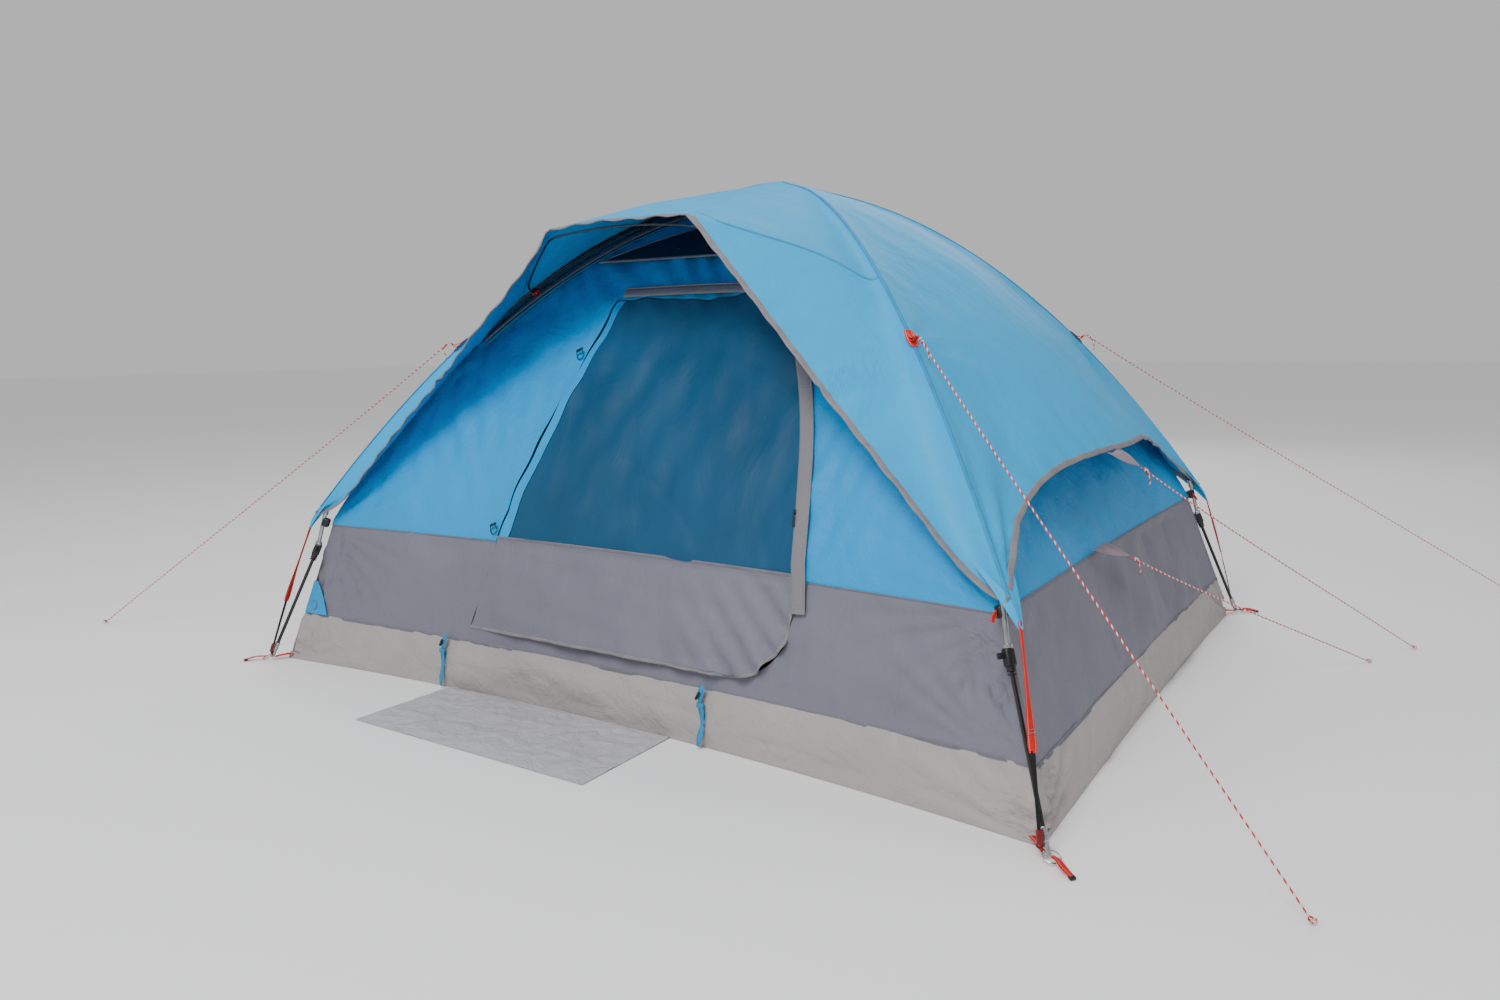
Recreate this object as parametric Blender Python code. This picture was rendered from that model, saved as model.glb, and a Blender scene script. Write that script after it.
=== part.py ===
"""Pop-up dome tent: hub frame with four folding legs, inner tent, outer fly, door, mat and guylines.

Metres, +Z up. The door faces -Y and +X is to the right. The origin is the centre of the floor, on the ground.
Most of the frame lies in four vertical diagonal planes. There a place is given by r, the distance from the
middle, and z, the height, and by side, the distance across the plane.
"""

import math

import bmesh
import bpy
from mathutils import Matrix, Vector

# Driving dimensions
FOOT_X, FOOT_Y = 1.186, 1.0165   # feet, measured from the middle
CORNER_R = 1.400                 # fly corners, along the diagonal
CORNER_Z = 0.440
APEX_Z = 1.385                   # crest of the ridges, before the hub's bump
RIDGE_POWER = 1.9                # the ridges fall as r to this power
HUB_BUMP = 0.018                 # how far the hub lifts the middle of the fly
CLOTH = 0.001                    # thickness of fly, walls and floor
WALL_INSET = 0.036               # walls hang this far inside the ridges
WALL_START_R = 1.400             # ridge station of the grey and blue walls' seam
SIDE_SAG = 0.15                  # the sides of the floor hang in this much of what the front does
ROOF_DIP = 0.032                 # the walls dip this much more under the hub

FLOOR_X, FLOOR_Y = 1.157, 0.973  # corners of the floor
TUB_X, TUB_Y, TUB_Z = 1.129, 0.922, 0.132      # top corners of the bucket floor
SEAM_X, SEAM_Y, SEAM_Z = 1.036, 0.873, 0.404   # corners where grey wall meets blue wall

EAVE_X, EAVE_Y, EAVE_Z = 0.225, -0.757, 1.214  # front corner of the eave
EAVE_RISE = 0.012                # the eave's arch between its corners
BEND_ROW = 7                     # the front gore's row that follows its crease over the rod
EAVE_SHARE = 1 / 6               # the eave's share of the front edge's columns
ROD_R = 0.775                    # where the eave rod's line meets the ridges, along the diagonal
ROD_CLEARANCE = 0.010            # the rod's centre below the fly
ARCH_Z = 0.655                   # top of the cut-outs in the other three gores
ARCH_X, ARCH_Y = 1.050, 0.900    # how far out those edges stand

HUB_RING_R, HUB_RING_Z = 0.045, 1.352
HUB_R = 0.056
POLE_RADIUS = 0.0048
POLE_DROP = 0.013                # pole centre below the fly's ridge
HUB_DIP = 0.0295                 # the pole bends down this much more into the hub
POLE_END_R = 1.364
ELBOW_R, ELBOW_Z = 1.400, 0.338
FERRULE_TOP_R, FERRULE_TOP_Z = 1.534, 0.054
RING_EYE_R, RING_EYE_Z = 1.5505, 0.0165

DOOR_TOP, DOOR_BOTTOM = 1.050, 0.172
DOOR_LEFT_TOP, DOOR_LEFT_BOTTOM = -0.240, -0.456
DOOR_RIGHT = 0.548
DOOR_GAP = 0.004
ZIP_COVER_WIDTH = 0.030

MAT_LEFT, MAT_RIGHT, MAT_BACK, MAT_FRONT = -0.520, 0.245, -0.918, -1.212
GUY_RADIUS = 0.0017

CORNERS = {"front_right": (1, -1), "back_right": (1, 1), "front_left": (-1, -1), "back_left": (-1, 1)}
FOOT_R = math.hypot(FOOT_X, FOOT_Y)
FLOOR_RINGS = (0.66, 0.33)       # the floor's faces meet on rings of these sizes
FLOOR_SAG = 0.080                # the middle of the floor's front and back edges lies this far in

# Each strap runs from a fly corner down to its foot, and crosses its leg on the way
STRAP_SIGN = {"front_right": 1, "front_left": -1, "back_right": -1, "back_left": 1}
STRAP_TOP_R, STRAP_TOP_Z = 1.4200, 0.398
STRAP_FOOT_R, STRAP_FOOT_Z = 1.5480, 0.036
STRAP_TOP_SIDE, STRAP_FOOT_SIDE = 0.012, -0.014
STRAP_WIDE_SHARE, STRAP_END_SHARE = 0.60, 0.88   # where the wide webbing and the narrow one end
STRAP_WIDTH, STRAP_NARROW = 0.016, 0.008
WEBBING, DOUBLE_WEBBING = 0.0015, 0.0025         # thickness of one layer and of a folded one

RIDGE_DROP = (APEX_Z - CORNER_Z) / CORNER_R ** RIDGE_POWER

SIDE_TAB_BASE, SIDE_TAB_TIP = (1.0530, -0.150, 0.652), (1.1140, -0.150, 0.617)
WALL_TAB_BASE, WALL_TAB_TIP = (1.0400, -0.206, 0.424), (1.1120, -0.206, 0.405)
TAB_R = 0.955                    # the ridge tabs' place along the diagonal
GUY_PEGS = {                     # ground ends of the guylines, in x and y
    "front_right": (1.604, -1.004),
    "back_right": (1.960, 1.840),
    "front_left": (-2.080, -1.060),
}
SIDE_PEGS = {"right_fly": (1.6990, 0.8260), "right_wall": (1.5950, 0.6080)}

COLOURS = {
    "fly": ((0.080, 0.360, 0.560), 0.55, 0.0),
    "wall": ((0.030, 0.230, 0.440), 0.60, 0.0),
    "floor": ((0.400, 0.370, 0.350), 0.60, 0.0),
    "door": ((0.020, 0.080, 0.150), 0.60, 0.0),
    "trim": ((0.250, 0.250, 0.270), 0.60, 0.0),
    "webbing": ((0.700, 0.030, 0.020), 0.60, 0.0),
    "strap": ((0.020, 0.250, 0.500), 0.60, 0.0),
    "pole": ((0.012, 0.012, 0.013), 0.35, 0.0),
    "metal": ((0.600, 0.610, 0.620), 0.30, 1.0),
    "plastic": ((0.015, 0.015, 0.016), 0.45, 0.0),
    "cord": ((0.650, 0.060, 0.060), 0.70, 0.0),
}


# Helpers

def clear_scene():
    for item in list(bpy.data.objects):
        bpy.data.objects.remove(item, do_unlink=True)


def material(name):
    """One Principled material of its own for each sub-part."""
    kind_colour, roughness, metallic = COLOURS[name]
    made = bpy.data.materials.new(name)
    made.use_nodes = True
    shader = made.node_tree.nodes["Principled BSDF"]
    shader.inputs["Base Color"].default_value = (*kind_colour, 1.0)
    shader.inputs["Roughness"].default_value = roughness
    shader.inputs["Metallic"].default_value = metallic
    return made


def add(name, mesh, kind, origin=(0.0, 0.0, 0.0)):
    """Links a mesh given in world coordinates as an object whose origin is at the given point."""
    mesh.transform(Matrix.Translation(-Vector(origin)))
    mesh.materials.clear()
    mesh.materials.append(material(kind))
    made = bpy.data.objects.new(name, mesh)
    made.location = origin
    bpy.context.scene.collection.objects.link(made)
    return made


def evaluated_mesh(item):
    bpy.context.view_layer.update()
    graph = bpy.context.evaluated_depsgraph_get()
    return bpy.data.meshes.new_from_object(item.evaluated_get(graph))


def temporary(mesh):
    item = bpy.data.objects.new("temporary", mesh)
    item.hide_render = True
    item.display_type = "WIRE"
    bpy.context.scene.collection.objects.link(item)
    return item


def combine(mesh, others, operation):
    """The mesh joined with, cut by or limited to each of the other meshes."""
    base = temporary(mesh)
    tools = [temporary(other) for other in others]
    for tool in tools:
        step = base.modifiers.new("combine", "BOOLEAN")
        step.operation = operation
        step.solver = "EXACT"
        step.object = tool
    result = evaluated_mesh(base)
    for item in [base, *tools]:
        bpy.data.objects.remove(item, do_unlink=True)
    return result


def mesh_from(vertices, faces):
    made = bpy.data.meshes.new("shape")
    made.from_pydata([tuple(v) for v in vertices], [], faces)
    made.update()
    return made


def outward(mesh):
    shape = bmesh.new()
    shape.from_mesh(mesh)
    bmesh.ops.recalc_face_normals(shape, faces=shape.faces)
    shape.to_mesh(mesh)
    shape.free()
    return mesh


def welded(mesh):
    shape = bmesh.new()
    shape.from_mesh(mesh)
    bmesh.ops.remove_doubles(shape, verts=shape.verts, dist=0.00001)
    bmesh.ops.recalc_face_normals(shape, faces=shape.faces)
    shape.to_mesh(mesh)
    shape.free()
    return mesh


def tube(points, radius, resolution=2):
    """A round bar along a list of points, with closed ends."""
    line = bpy.data.curves.new("line", "CURVE")
    line.dimensions = "3D"
    line.bevel_depth = radius
    line.bevel_resolution = resolution
    line.use_fill_caps = True
    spline = line.splines.new("POLY")
    spline.points.add(len(points) - 1)
    for place, point in zip(spline.points, points):
        place.co = (*point, 1.0)
    item = bpy.data.objects.new("line", line)
    bpy.context.scene.collection.objects.link(item)
    mesh = welded(evaluated_mesh(item))
    bpy.data.objects.remove(item, do_unlink=True)
    mesh.shade_smooth()
    mesh.set_sharp_from_angle(angle=math.radians(50))
    return mesh


def frame_at(start, end, hint):
    """Rotation whose third axis runs from start to end and whose first axis lies near the hint."""
    third = (Vector(end) - Vector(start)).normalized()
    first = (Vector(hint) - third * Vector(hint).dot(third)).normalized()
    second = third.cross(first)
    return Matrix((first, second, third)).transposed().to_4x4()


def turned(start, end, profile, sides=16):
    """A turned piece about the line from start to end. The profile holds (distance along, radius)."""
    place = Matrix.Translation(start) @ frame_at(start, end, (0.3, 0.5, 0.8))
    vertices, faces = [], []
    for along, radius in profile:
        for step in range(sides):
            angle = 2 * math.pi * step / sides
            vertices.append(place @ Vector((radius * math.cos(angle), radius * math.sin(angle), along)))
    rings = len(profile)
    for ring in range(rings - 1):
        for step in range(sides):
            following = (step + 1) % sides
            low, high = ring * sides, (ring + 1) * sides
            faces.append((low + step, low + following, high + following, high + step))
    faces.append(tuple(range(sides))[::-1])
    faces.append(tuple((rings - 1) * sides + step for step in range(sides)))
    mesh = outward(mesh_from(vertices, faces))
    mesh.shade_smooth()
    mesh.set_sharp_from_angle(angle=math.radians(35))
    return mesh


def block(start, end, width, depth, hint, overrun=0.0):
    """A box from start to end: width runs along the hint, depth across it."""
    start, end = Vector(start), Vector(end)
    along = (end - start).normalized()
    start, end = start - along * overrun, end + along * overrun
    place = Matrix.Translation((start + end) / 2) @ frame_at(start, end, hint)
    shape = bmesh.new()
    bmesh.ops.create_cube(shape, size=1.0)
    scale = Matrix.Diagonal((width, depth, (end - start).length, 1.0))
    bmesh.ops.transform(shape, matrix=place @ scale, verts=shape.verts)
    mesh = bpy.data.meshes.new("block")
    shape.to_mesh(mesh)
    shape.free()
    return mesh


def prism(outline, low_y, high_y):
    """A closed solid whose outline, in x and z, runs from one y to another."""
    count = len(outline)
    vertices = [(x, low_y, z) for x, z in outline] + [(x, high_y, z) for x, z in outline]
    faces = [tuple(range(count)), tuple(range(2 * count - 1, count - 1, -1))]
    for index in range(count):
        following = (index + 1) % count
        faces.append((index, index + count, following + count, following))
    return outward(mesh_from(vertices, faces))


def sheet(rows, thickness, outer=Vector((0, 0, 0.2))):
    """A thin closed solid. The rows of points are its outer surface, and it thickens towards the middle."""
    across = len(rows[0])
    vertices = [Vector(point) for row in rows for point in row]
    faces = []
    for row in range(len(rows) - 1):
        for column in range(across - 1):
            first = row * across + column
            faces.append((first, first + 1, first + across + 1, first + across))
    middle = vertices[(len(rows) // 2) * across + across // 2]
    a, b, c, _ = [vertices[i] for i in faces[len(faces) // 2]]
    if (b - a).cross(c - a).dot(middle - outer) < 0:
        faces = [face[::-1] for face in faces]
    item = temporary(mesh_from(vertices, faces))
    solid = item.modifiers.new("thickness", "SOLIDIFY")
    solid.thickness = thickness
    solid.offset = -1.0
    mesh = evaluated_mesh(item)
    bpy.data.objects.remove(item, do_unlink=True)
    return mesh


def diagonal(corner):
    """The outward and the sideways direction of one corner's diagonal plane."""
    sign_x, sign_y = CORNERS[corner]
    out = Vector((sign_x * FOOT_X, sign_y * FOOT_Y, 0.0)).normalized()
    return out, Vector((0, 0, 1)).cross(out)


def at(corner, r, z, side=0.0):
    out, across = diagonal(corner)
    return out * r + across * side + Vector((0, 0, z))


# Curves that the cloth and the frame share

def ridge_z(r):
    return APEX_Z - RIDGE_DROP * r ** RIDGE_POWER


def pole_z(r):
    slope = RIDGE_DROP * RIDGE_POWER * r ** (RIDGE_POWER - 1)
    dip = HUB_DIP * math.exp(-r / 0.1)
    return ridge_z(r) - POLE_DROP * math.hypot(1, slope) - dip


def front_edge(share):
    """The fly's front edge: 0 is the middle of the eave, 1 the right corner and -1 the left one."""
    size = abs(share)
    sign = 1 if share >= 0 else -1
    if size <= EAVE_SHARE:
        x = EAVE_X * size / EAVE_SHARE
        return Vector((sign * x, EAVE_Y, EAVE_Z + EAVE_RISE * (1 - (x / EAVE_X) ** 2)))
    down = (size - EAVE_SHARE) / (1 - EAVE_SHARE)
    corner_x = CORNER_R * FOOT_X / FOOT_R
    corner_y = CORNER_R * FOOT_Y / FOOT_R
    x = EAVE_X + (corner_x - EAVE_X) * down
    z = EAVE_Z + (CORNER_Z - EAVE_Z) * down - 0.11 * down * (1 - down)
    y = EAVE_Y - (corner_y + EAVE_Y) * ((EAVE_Z - z) / (EAVE_Z - CORNER_Z)) ** 1.4
    return Vector((sign * x, y, z))


def arch_edge(share, reach, half_width):
    """A cut-out's edge: how far out, how far across and how high it is. The share runs from -1 to 1."""
    size = abs(share)
    corner_out = CORNER_R * reach[0] / FOOT_R
    out = corner_out + (reach[1] - corner_out) * (1 - size ** 3)
    out -= 0.06 * math.sin(math.pi * size ** 1.5)
    return out, share * CORNER_R * half_width / FOOT_R, ARCH_Z - (ARCH_Z - CORNER_Z) * size ** 3


def rod_line(share):
    """The line on the fly over the eave rod: 0 is the eave's corner, 1 the right front ridge."""
    corner = Vector((EAVE_X, EAVE_Y, EAVE_Z))
    out = Vector((FOOT_X, -FOOT_Y, 0)) / FOOT_R
    ridge = out * ROD_R + Vector((0, 0, ridge_z(ROD_R)))
    return corner.lerp(ridge, share) + Vector((0, 0, 0.012 * 4 * share * (1 - share)))


def rod_crossing(x, y):
    """Where the rod's line crosses the plan direction of a place on the front gore."""
    low, high = 0.0, 1.0
    wanted = abs(x) * -EAVE_Y / max(-y, 1e-6)
    for _ in range(24):
        middle = (low + high) / 2
        place = rod_line(middle)
        if place.x * EAVE_Y / place.y < wanted:
            low = middle
        else:
            high = middle
    return rod_line((low + high) / 2)


def front_bend(target):
    """How far down the front gore its crease over the rod lies."""
    if abs(target.x) <= EAVE_X * 1.001:
        return 1.0
    crossing = rod_crossing(target.x, target.y)
    return math.hypot(crossing.x, crossing.y) / math.hypot(target.x, target.y)


def front_profile(target, share, t):
    """Height of the front gore on its way from the apex to a point of the front edge."""
    ridge = ridge_z(t * CORNER_R)
    near = front_bend(target)
    if near == 1.0:
        return APEX_Z - (APEX_Z - target.z) * t ** 1.35
    crossing = rod_crossing(target.x, target.y)
    if t <= near:
        power = 1.35 + 0.5 * abs(share)
        height = APEX_Z - (APEX_Z - crossing.z) * (t / near) ** power
    else:
        height = crossing.z + (target.z - crossing.z) * (t - near) / (1 - near)
    weight = abs(share) ** 8
    return height * (1 - weight) + ridge * weight


def side_profile(target, share, t):
    """Height of the other gores on the way from the apex to their lower edge."""
    power = RIDGE_POWER - 0.16 * (1 - abs(share) ** 1.5)
    return APEX_Z - (APEX_Z - target.z) * t ** power


def gore_rows(edge, profile, across=16, down=11, bend=None, trim=0.0018):
    """Rows of points over a gore, from the apex to its lower edge."""
    rows = []
    for row in range(down + 1):
        line = []
        for column in range(across + 1):
            share = -1 + 2 * column / across
            target = edge(share)
            t = 0.03 + 0.97 * row / down
            if bend:
                near = min(bend(target), 0.94)
                t = 0.03 + (near - 0.03) * row / BEND_ROW
                if row > BEND_ROW:
                    t = near + (1 - near) * (row - BEND_ROW) / (down - BEND_ROW)
            place = Vector((target.x * t, target.y * t, profile(target, share, t)))
            place.z += HUB_BUMP * math.exp(-(math.hypot(place.x, place.y) / 0.09) ** 2)
            line.append(place)
        first = (line[1] - line[0]).normalized() * trim
        last = (line[-2] - line[-1]).normalized() * trim
        line[0], line[-1] = line[0] + first, line[-1] + last
        rows.append(line)
    return rows


def wall_corner(level):
    """Half sizes of the inner tent at a level: below 0 on the grey wall, above 0 on the blue one."""
    if level <= 0:
        lift = 1 + level
        return (TUB_X + (SEAM_X - TUB_X) * lift, TUB_Y + (SEAM_Y - TUB_Y) * lift,
                TUB_Z + 0.0005 + (SEAM_Z - TUB_Z) * lift)
    station = WALL_START_R * (1 - level) + 0.014
    slope = RIDGE_DROP * RIDGE_POWER * station ** (RIDGE_POWER - 1)
    length = math.hypot(1, slope)
    r = max(station - WALL_INSET * slope / length, 0.012)
    z = ridge_z(station) - WALL_INSET / length - ROOF_DIP * math.exp(-r / 0.14)
    x, y = r * FOOT_X / FOOT_R, r * FOOT_Y / FOOT_R
    blend = max(0.0, 1 - level * 8)
    x += blend * (SEAM_X - x)
    y += blend * (SEAM_Y - y)
    return x, y, z + blend * (SEAM_Z - z)


def wall_sag(level, side="front"):
    """How far the middle of a wall hangs inwards. The left and right walls are tight low down."""
    share = 1.0
    if side in ("left", "right"):
        share = SIDE_SAG + (1 - SIDE_SAG) * min(max(level * 3, 0.0), 1.0)
    if level <= 0:
        return share * (0.045 + 0.020 * (1 + level))
    return share * 0.065 * (1 - level) ** 1.5


def wall_rows(side, grow=0.0, across=10, low=3, high=10, trim=0.0016):
    """Rows over one inner wall, from the floor's edge to the roof."""
    rows = []
    levels = [-1 + step / low for step in range(low)] + [step / high for step in range(high + 1)]
    for level in levels:
        half_x, half_y, z = wall_corner(level)
        along_x = side in ("front", "back")
        half, out = (half_x, half_y) if along_x else (half_y, half_x)
        line = []
        for column in range(across + 1):
            share = -1 + 2 * column / across
            place = share * (half - trim)
            depth = out - wall_sag(level, side) * (1 - share ** 2) + grow
            if side in ("front", "left"):
                depth = -depth
            line.append(Vector((place, depth, z) if along_x else (depth, place, z)))
        rows.append(line)
    return rows


def wall_y(x, z):
    """The front wall's outer surface at a place."""
    rows = wall_rows("front")
    for low, high in zip(rows, rows[1:]):
        if low[0].z <= z <= high[0].z:
            line = [a.lerp(b, (z - low[0].z) / (high[0].z - low[0].z)) for a, b in zip(low, high)]
            for left, right in zip(line, line[1:]):
                if left.x <= x <= right.x:
                    return left.y + (right.y - left.y) * (x - left.x) / (right.x - left.x)
    return -TUB_Y


# Door outline, in x and z

def arc(centre, radius, start, end, count):
    points = []
    for step in range(count + 1):
        angle = math.radians(start + (end - start) * step / count)
        points.append((centre[0] + radius * math.cos(angle), centre[1] + radius * math.sin(angle)))
    return points


def door_path():
    """Along the top from the left, round the right side and along the bottom to the left."""
    top = arc((0.190, DOOR_TOP - 0.230), 0.230, 90, 25, 6)
    side = arc((0.390, 0.330), DOOR_RIGHT - 0.390, 8, -90, 8)
    right = [(0.470, 0.780), (0.520, 0.600)]
    return [(DOOR_LEFT_TOP, DOOR_TOP), *top, *right, *side, (DOOR_LEFT_BOTTOM, DOOR_BOTTOM)]


def moved_out(path, distance):
    """A path moved sideways, away from the door."""
    moved = []
    for index, point in enumerate(path):
        before = Vector(path[max(index - 1, 0)])
        after = Vector(path[min(index + 1, len(path) - 1)])
        along = (after - before).normalized()
        moved.append((point[0] - along.y * distance, point[1] + along.x * distance))
    return moved


# Soft parts

def make_tub():
    """The bucket floor: a thin flat floor with sloping walls, open at the top."""
    def loop(half_x, half_y, z, sag, inset, steps=10):
        points = []
        turns = [(-1, -1), (1, -1), (1, 1), (-1, 1), (-1, -1)]
        for start, end in zip(turns, turns[1:]):
            for step in range(steps):
                share = step / steps
                x = (start[0] + (end[0] - start[0]) * share) * (half_x - inset)
                y = (start[1] + (end[1] - start[1]) * share) * (half_y - inset)
                bow = sag * 4 * share * (1 - share)
                if start[1] == end[1]:
                    y -= math.copysign(bow, y)
                else:
                    x -= math.copysign(bow * SIDE_SAG, x)
                points.append(Vector((x, y, z)))
        return points

    loops = [
        loop(FLOOR_X, FLOOR_Y, 0.0, FLOOR_SAG, 0.0),
        loop(TUB_X, TUB_Y, TUB_Z, wall_sag(-1), 0.0),
        loop(TUB_X, TUB_Y, TUB_Z, wall_sag(-1), CLOTH * 1.5),
        loop(FLOOR_X, FLOOR_Y, CLOTH * 1.5, FLOOR_SAG, CLOTH * 2),
    ]
    below, above = loops[0], loops[3]
    for share in FLOOR_RINGS:
        loops.insert(0, [Vector((point.x * share, point.y * share, point.z)) for point in below])
        loops.append([Vector((point.x * share, point.y * share, point.z)) for point in above])
    count = len(loops[0])
    vertices = [point for points in loops for point in points]
    faces = []
    for ring in range(len(loops) - 1):
        for step in range(count):
            following = (step + 1) % count
            low, high = ring * count, (ring + 1) * count
            faces.append((low + step, low + following, high + following, high + step))
    middle = len(vertices)
    vertices += [Vector((0, 0, below[0].z)), Vector((0, 0, above[0].z))]
    last = (len(loops) - 1) * count
    for step in range(count):
        following = (step + 1) % count
        faces.append((middle, following, step))
        faces.append((last + step, last + following, middle + 1))
    add("tub", outward(mesh_from(vertices, faces)), "floor")


def make_walls():
    """Four inner walls. The front one has the door opening."""
    path = door_path()
    foot = (DOOR_LEFT_BOTTOM - DOOR_GAP, DOOR_BOTTOM - DOOR_GAP)
    cutter = prism([*moved_out(path, DOOR_GAP), foot], -2, -0.2)
    for side in ("front", "right", "back", "left"):
        mesh = sheet(wall_rows(side), CLOTH)
        if side == "front":
            mesh = combine(mesh, [cutter], "DIFFERENCE")
        add("wall_" + side, mesh, "wall")


def make_door():
    """The door panel, cut from the front wall's own surface, with its origin on its left edge."""
    outline = door_path()
    mesh = combine(sheet(wall_rows("front"), CLOTH), [prism(outline, -2, -0.2)], "INTERSECT")
    add("door_panel", mesh, "door", (DOOR_LEFT_TOP, -0.510, DOOR_TOP))


def make_zip_cover():
    """The flap beside the zip, outside the door's top and right edges."""
    path = [(x, z) for x, z in door_path() if z > 0.36]
    inner = moved_out(path, 0.012)
    outer = moved_out(path, 0.012 + ZIP_COVER_WIDTH)
    cover = prism(outer + inner[::-1], -2, -0.2)
    mesh = combine(sheet(wall_rows("front", grow=0.0025), CLOTH), [cover], "INTERSECT")
    add("door_zip_cover", mesh, "trim")


def zip_place(z):
    """A point on the zip, on the right side of the door, just outside the wall."""
    x = 0.551 - 0.170 * (z - 0.40)
    return Vector((x, wall_y(x, z) - 0.0060, z))


def make_zip_slider():
    """The slider's body with its pull, which hangs down along the door."""
    low, high = zip_place(0.545), zip_place(0.557)
    along = (high - low).normalized()
    body = block(low, high, 0.009, 0.006, (1, 0, 0))
    pull = block(low - along * 0.022, low + along * 0.004, 0.005, 0.002, (1, 0, 0))
    add("zip_slider", combine(body, [pull], "UNION"), "plastic", low)


def side_edge(side):
    def edge(share):
        if side in ("left", "right"):
            out, across, z = arch_edge(share, (FOOT_X, ARCH_X), FOOT_Y)
            return Vector((out if side == "right" else -out, across, z))
        out, across, z = arch_edge(share, (FOOT_Y, ARCH_Y), FOOT_X)
        return Vector((across, out, z))
    return edge


def make_fly():
    """Four gores. Each lies between two ridges, and the front one reaches out to the eave."""
    rows = gore_rows(front_edge, front_profile, across=24, down=12, bend=front_bend)
    add("fly_front", sheet(rows, CLOTH), "fly")
    for side in ("right", "back", "left"):
        add("fly_" + side, sheet(gore_rows(side_edge(side), side_profile), CLOTH), "fly")


def make_mat():
    """A thin mat on the ground in front of the door."""
    x_middle, y_middle = (MAT_LEFT + MAT_RIGHT) / 2, (MAT_BACK + MAT_FRONT) / 2
    mesh = block((x_middle, y_middle, 0), (x_middle, y_middle, 0.001), MAT_RIGHT - MAT_LEFT,
                 MAT_BACK - MAT_FRONT, (1, 0, 0))
    add("mat", mesh, "floor", (x_middle, MAT_BACK, 0.0005))


def make_mat_straps():
    """Two tapes down the front of the bucket floor, which hold the mat when it is rolled up."""
    for name, x in (("left", -0.530), ("right", 0.338)):
        upper = Vector((x, wall_y(x, TUB_Z + 0.001) - 0.010, TUB_Z + 0.006))
        lower = Vector((x, -0.915, 0.006))
        mesh = block(upper, lower, 0.012, WEBBING, (1, 0, 0))
        add("mat_strap_" + name, mesh, "strap")


def strap_place(corner, share):
    """A point on a strap's middle line: 0 is at the fly and 1 at the foot."""
    r = STRAP_TOP_R + (STRAP_FOOT_R - STRAP_TOP_R) * share
    z = STRAP_TOP_Z + (STRAP_FOOT_Z - STRAP_TOP_Z) * share
    side = STRAP_TOP_SIDE + (STRAP_FOOT_SIDE - STRAP_TOP_SIDE) * share
    return at(corner, r, z, STRAP_SIGN[corner] * side)


def make_fly_straps():
    """Webbing from each corner of the fly down beside the leg to the foot."""
    for corner in CORNERS:
        shares = (0.0, STRAP_WIDE_SHARE, STRAP_END_SHARE)
        upper, middle, lower = (strap_place(corner, share) for share in shares)
        _, across = diagonal(corner)
        wide = block(upper, middle, STRAP_WIDTH, WEBBING, across)
        narrow = block(middle, lower, STRAP_NARROW, DOUBLE_WEBBING, across, overrun=0.002)
        add("fly_strap_" + corner, combine(wide, [narrow], "UNION"), "webbing")


def make_corner_webbings():
    """Webbing from each corner of the floor out to the foot."""
    for corner, (sign_x, sign_y) in CORNERS.items():
        inner = Vector((sign_x * (FLOOR_X + 0.003), sign_y * (FLOOR_Y + 0.003), 0.010))
        outer = at(corner, FOOT_R - 0.022, 0.010)
        _, across = diagonal(corner)
        add("corner_webbing_" + corner, block(inner, outer, 0.018, DOUBLE_WEBBING, across), "webbing")


def make_pole_tabs():
    """Tabs on the ridges that take the guylines, at the fly's outer surface."""
    for corner in CORNERS:
        base = at(corner, TAB_R + 0.002, ridge_z(TAB_R) + 0.002)
        tip = at(corner, TAB_R + 0.030, ridge_z(TAB_R) + 0.010)
        _, across = diagonal(corner)
        add("guy_tab_" + corner, block(base, tip, 0.014, 0.002, across), "webbing")


def make_side_tabs():
    """Tabs on the right side: one at the edge of the fly, one on the inner wall."""
    add("guy_tab_right_fly", block(SIDE_TAB_BASE, SIDE_TAB_TIP, 0.045, 0.0015, (0, 1, 0)), "trim")
    add("guy_tab_right_wall", block(WALL_TAB_BASE, WALL_TAB_TIP, 0.045, 0.0015, (0, 1, 0)), "trim")


# Frame

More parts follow.
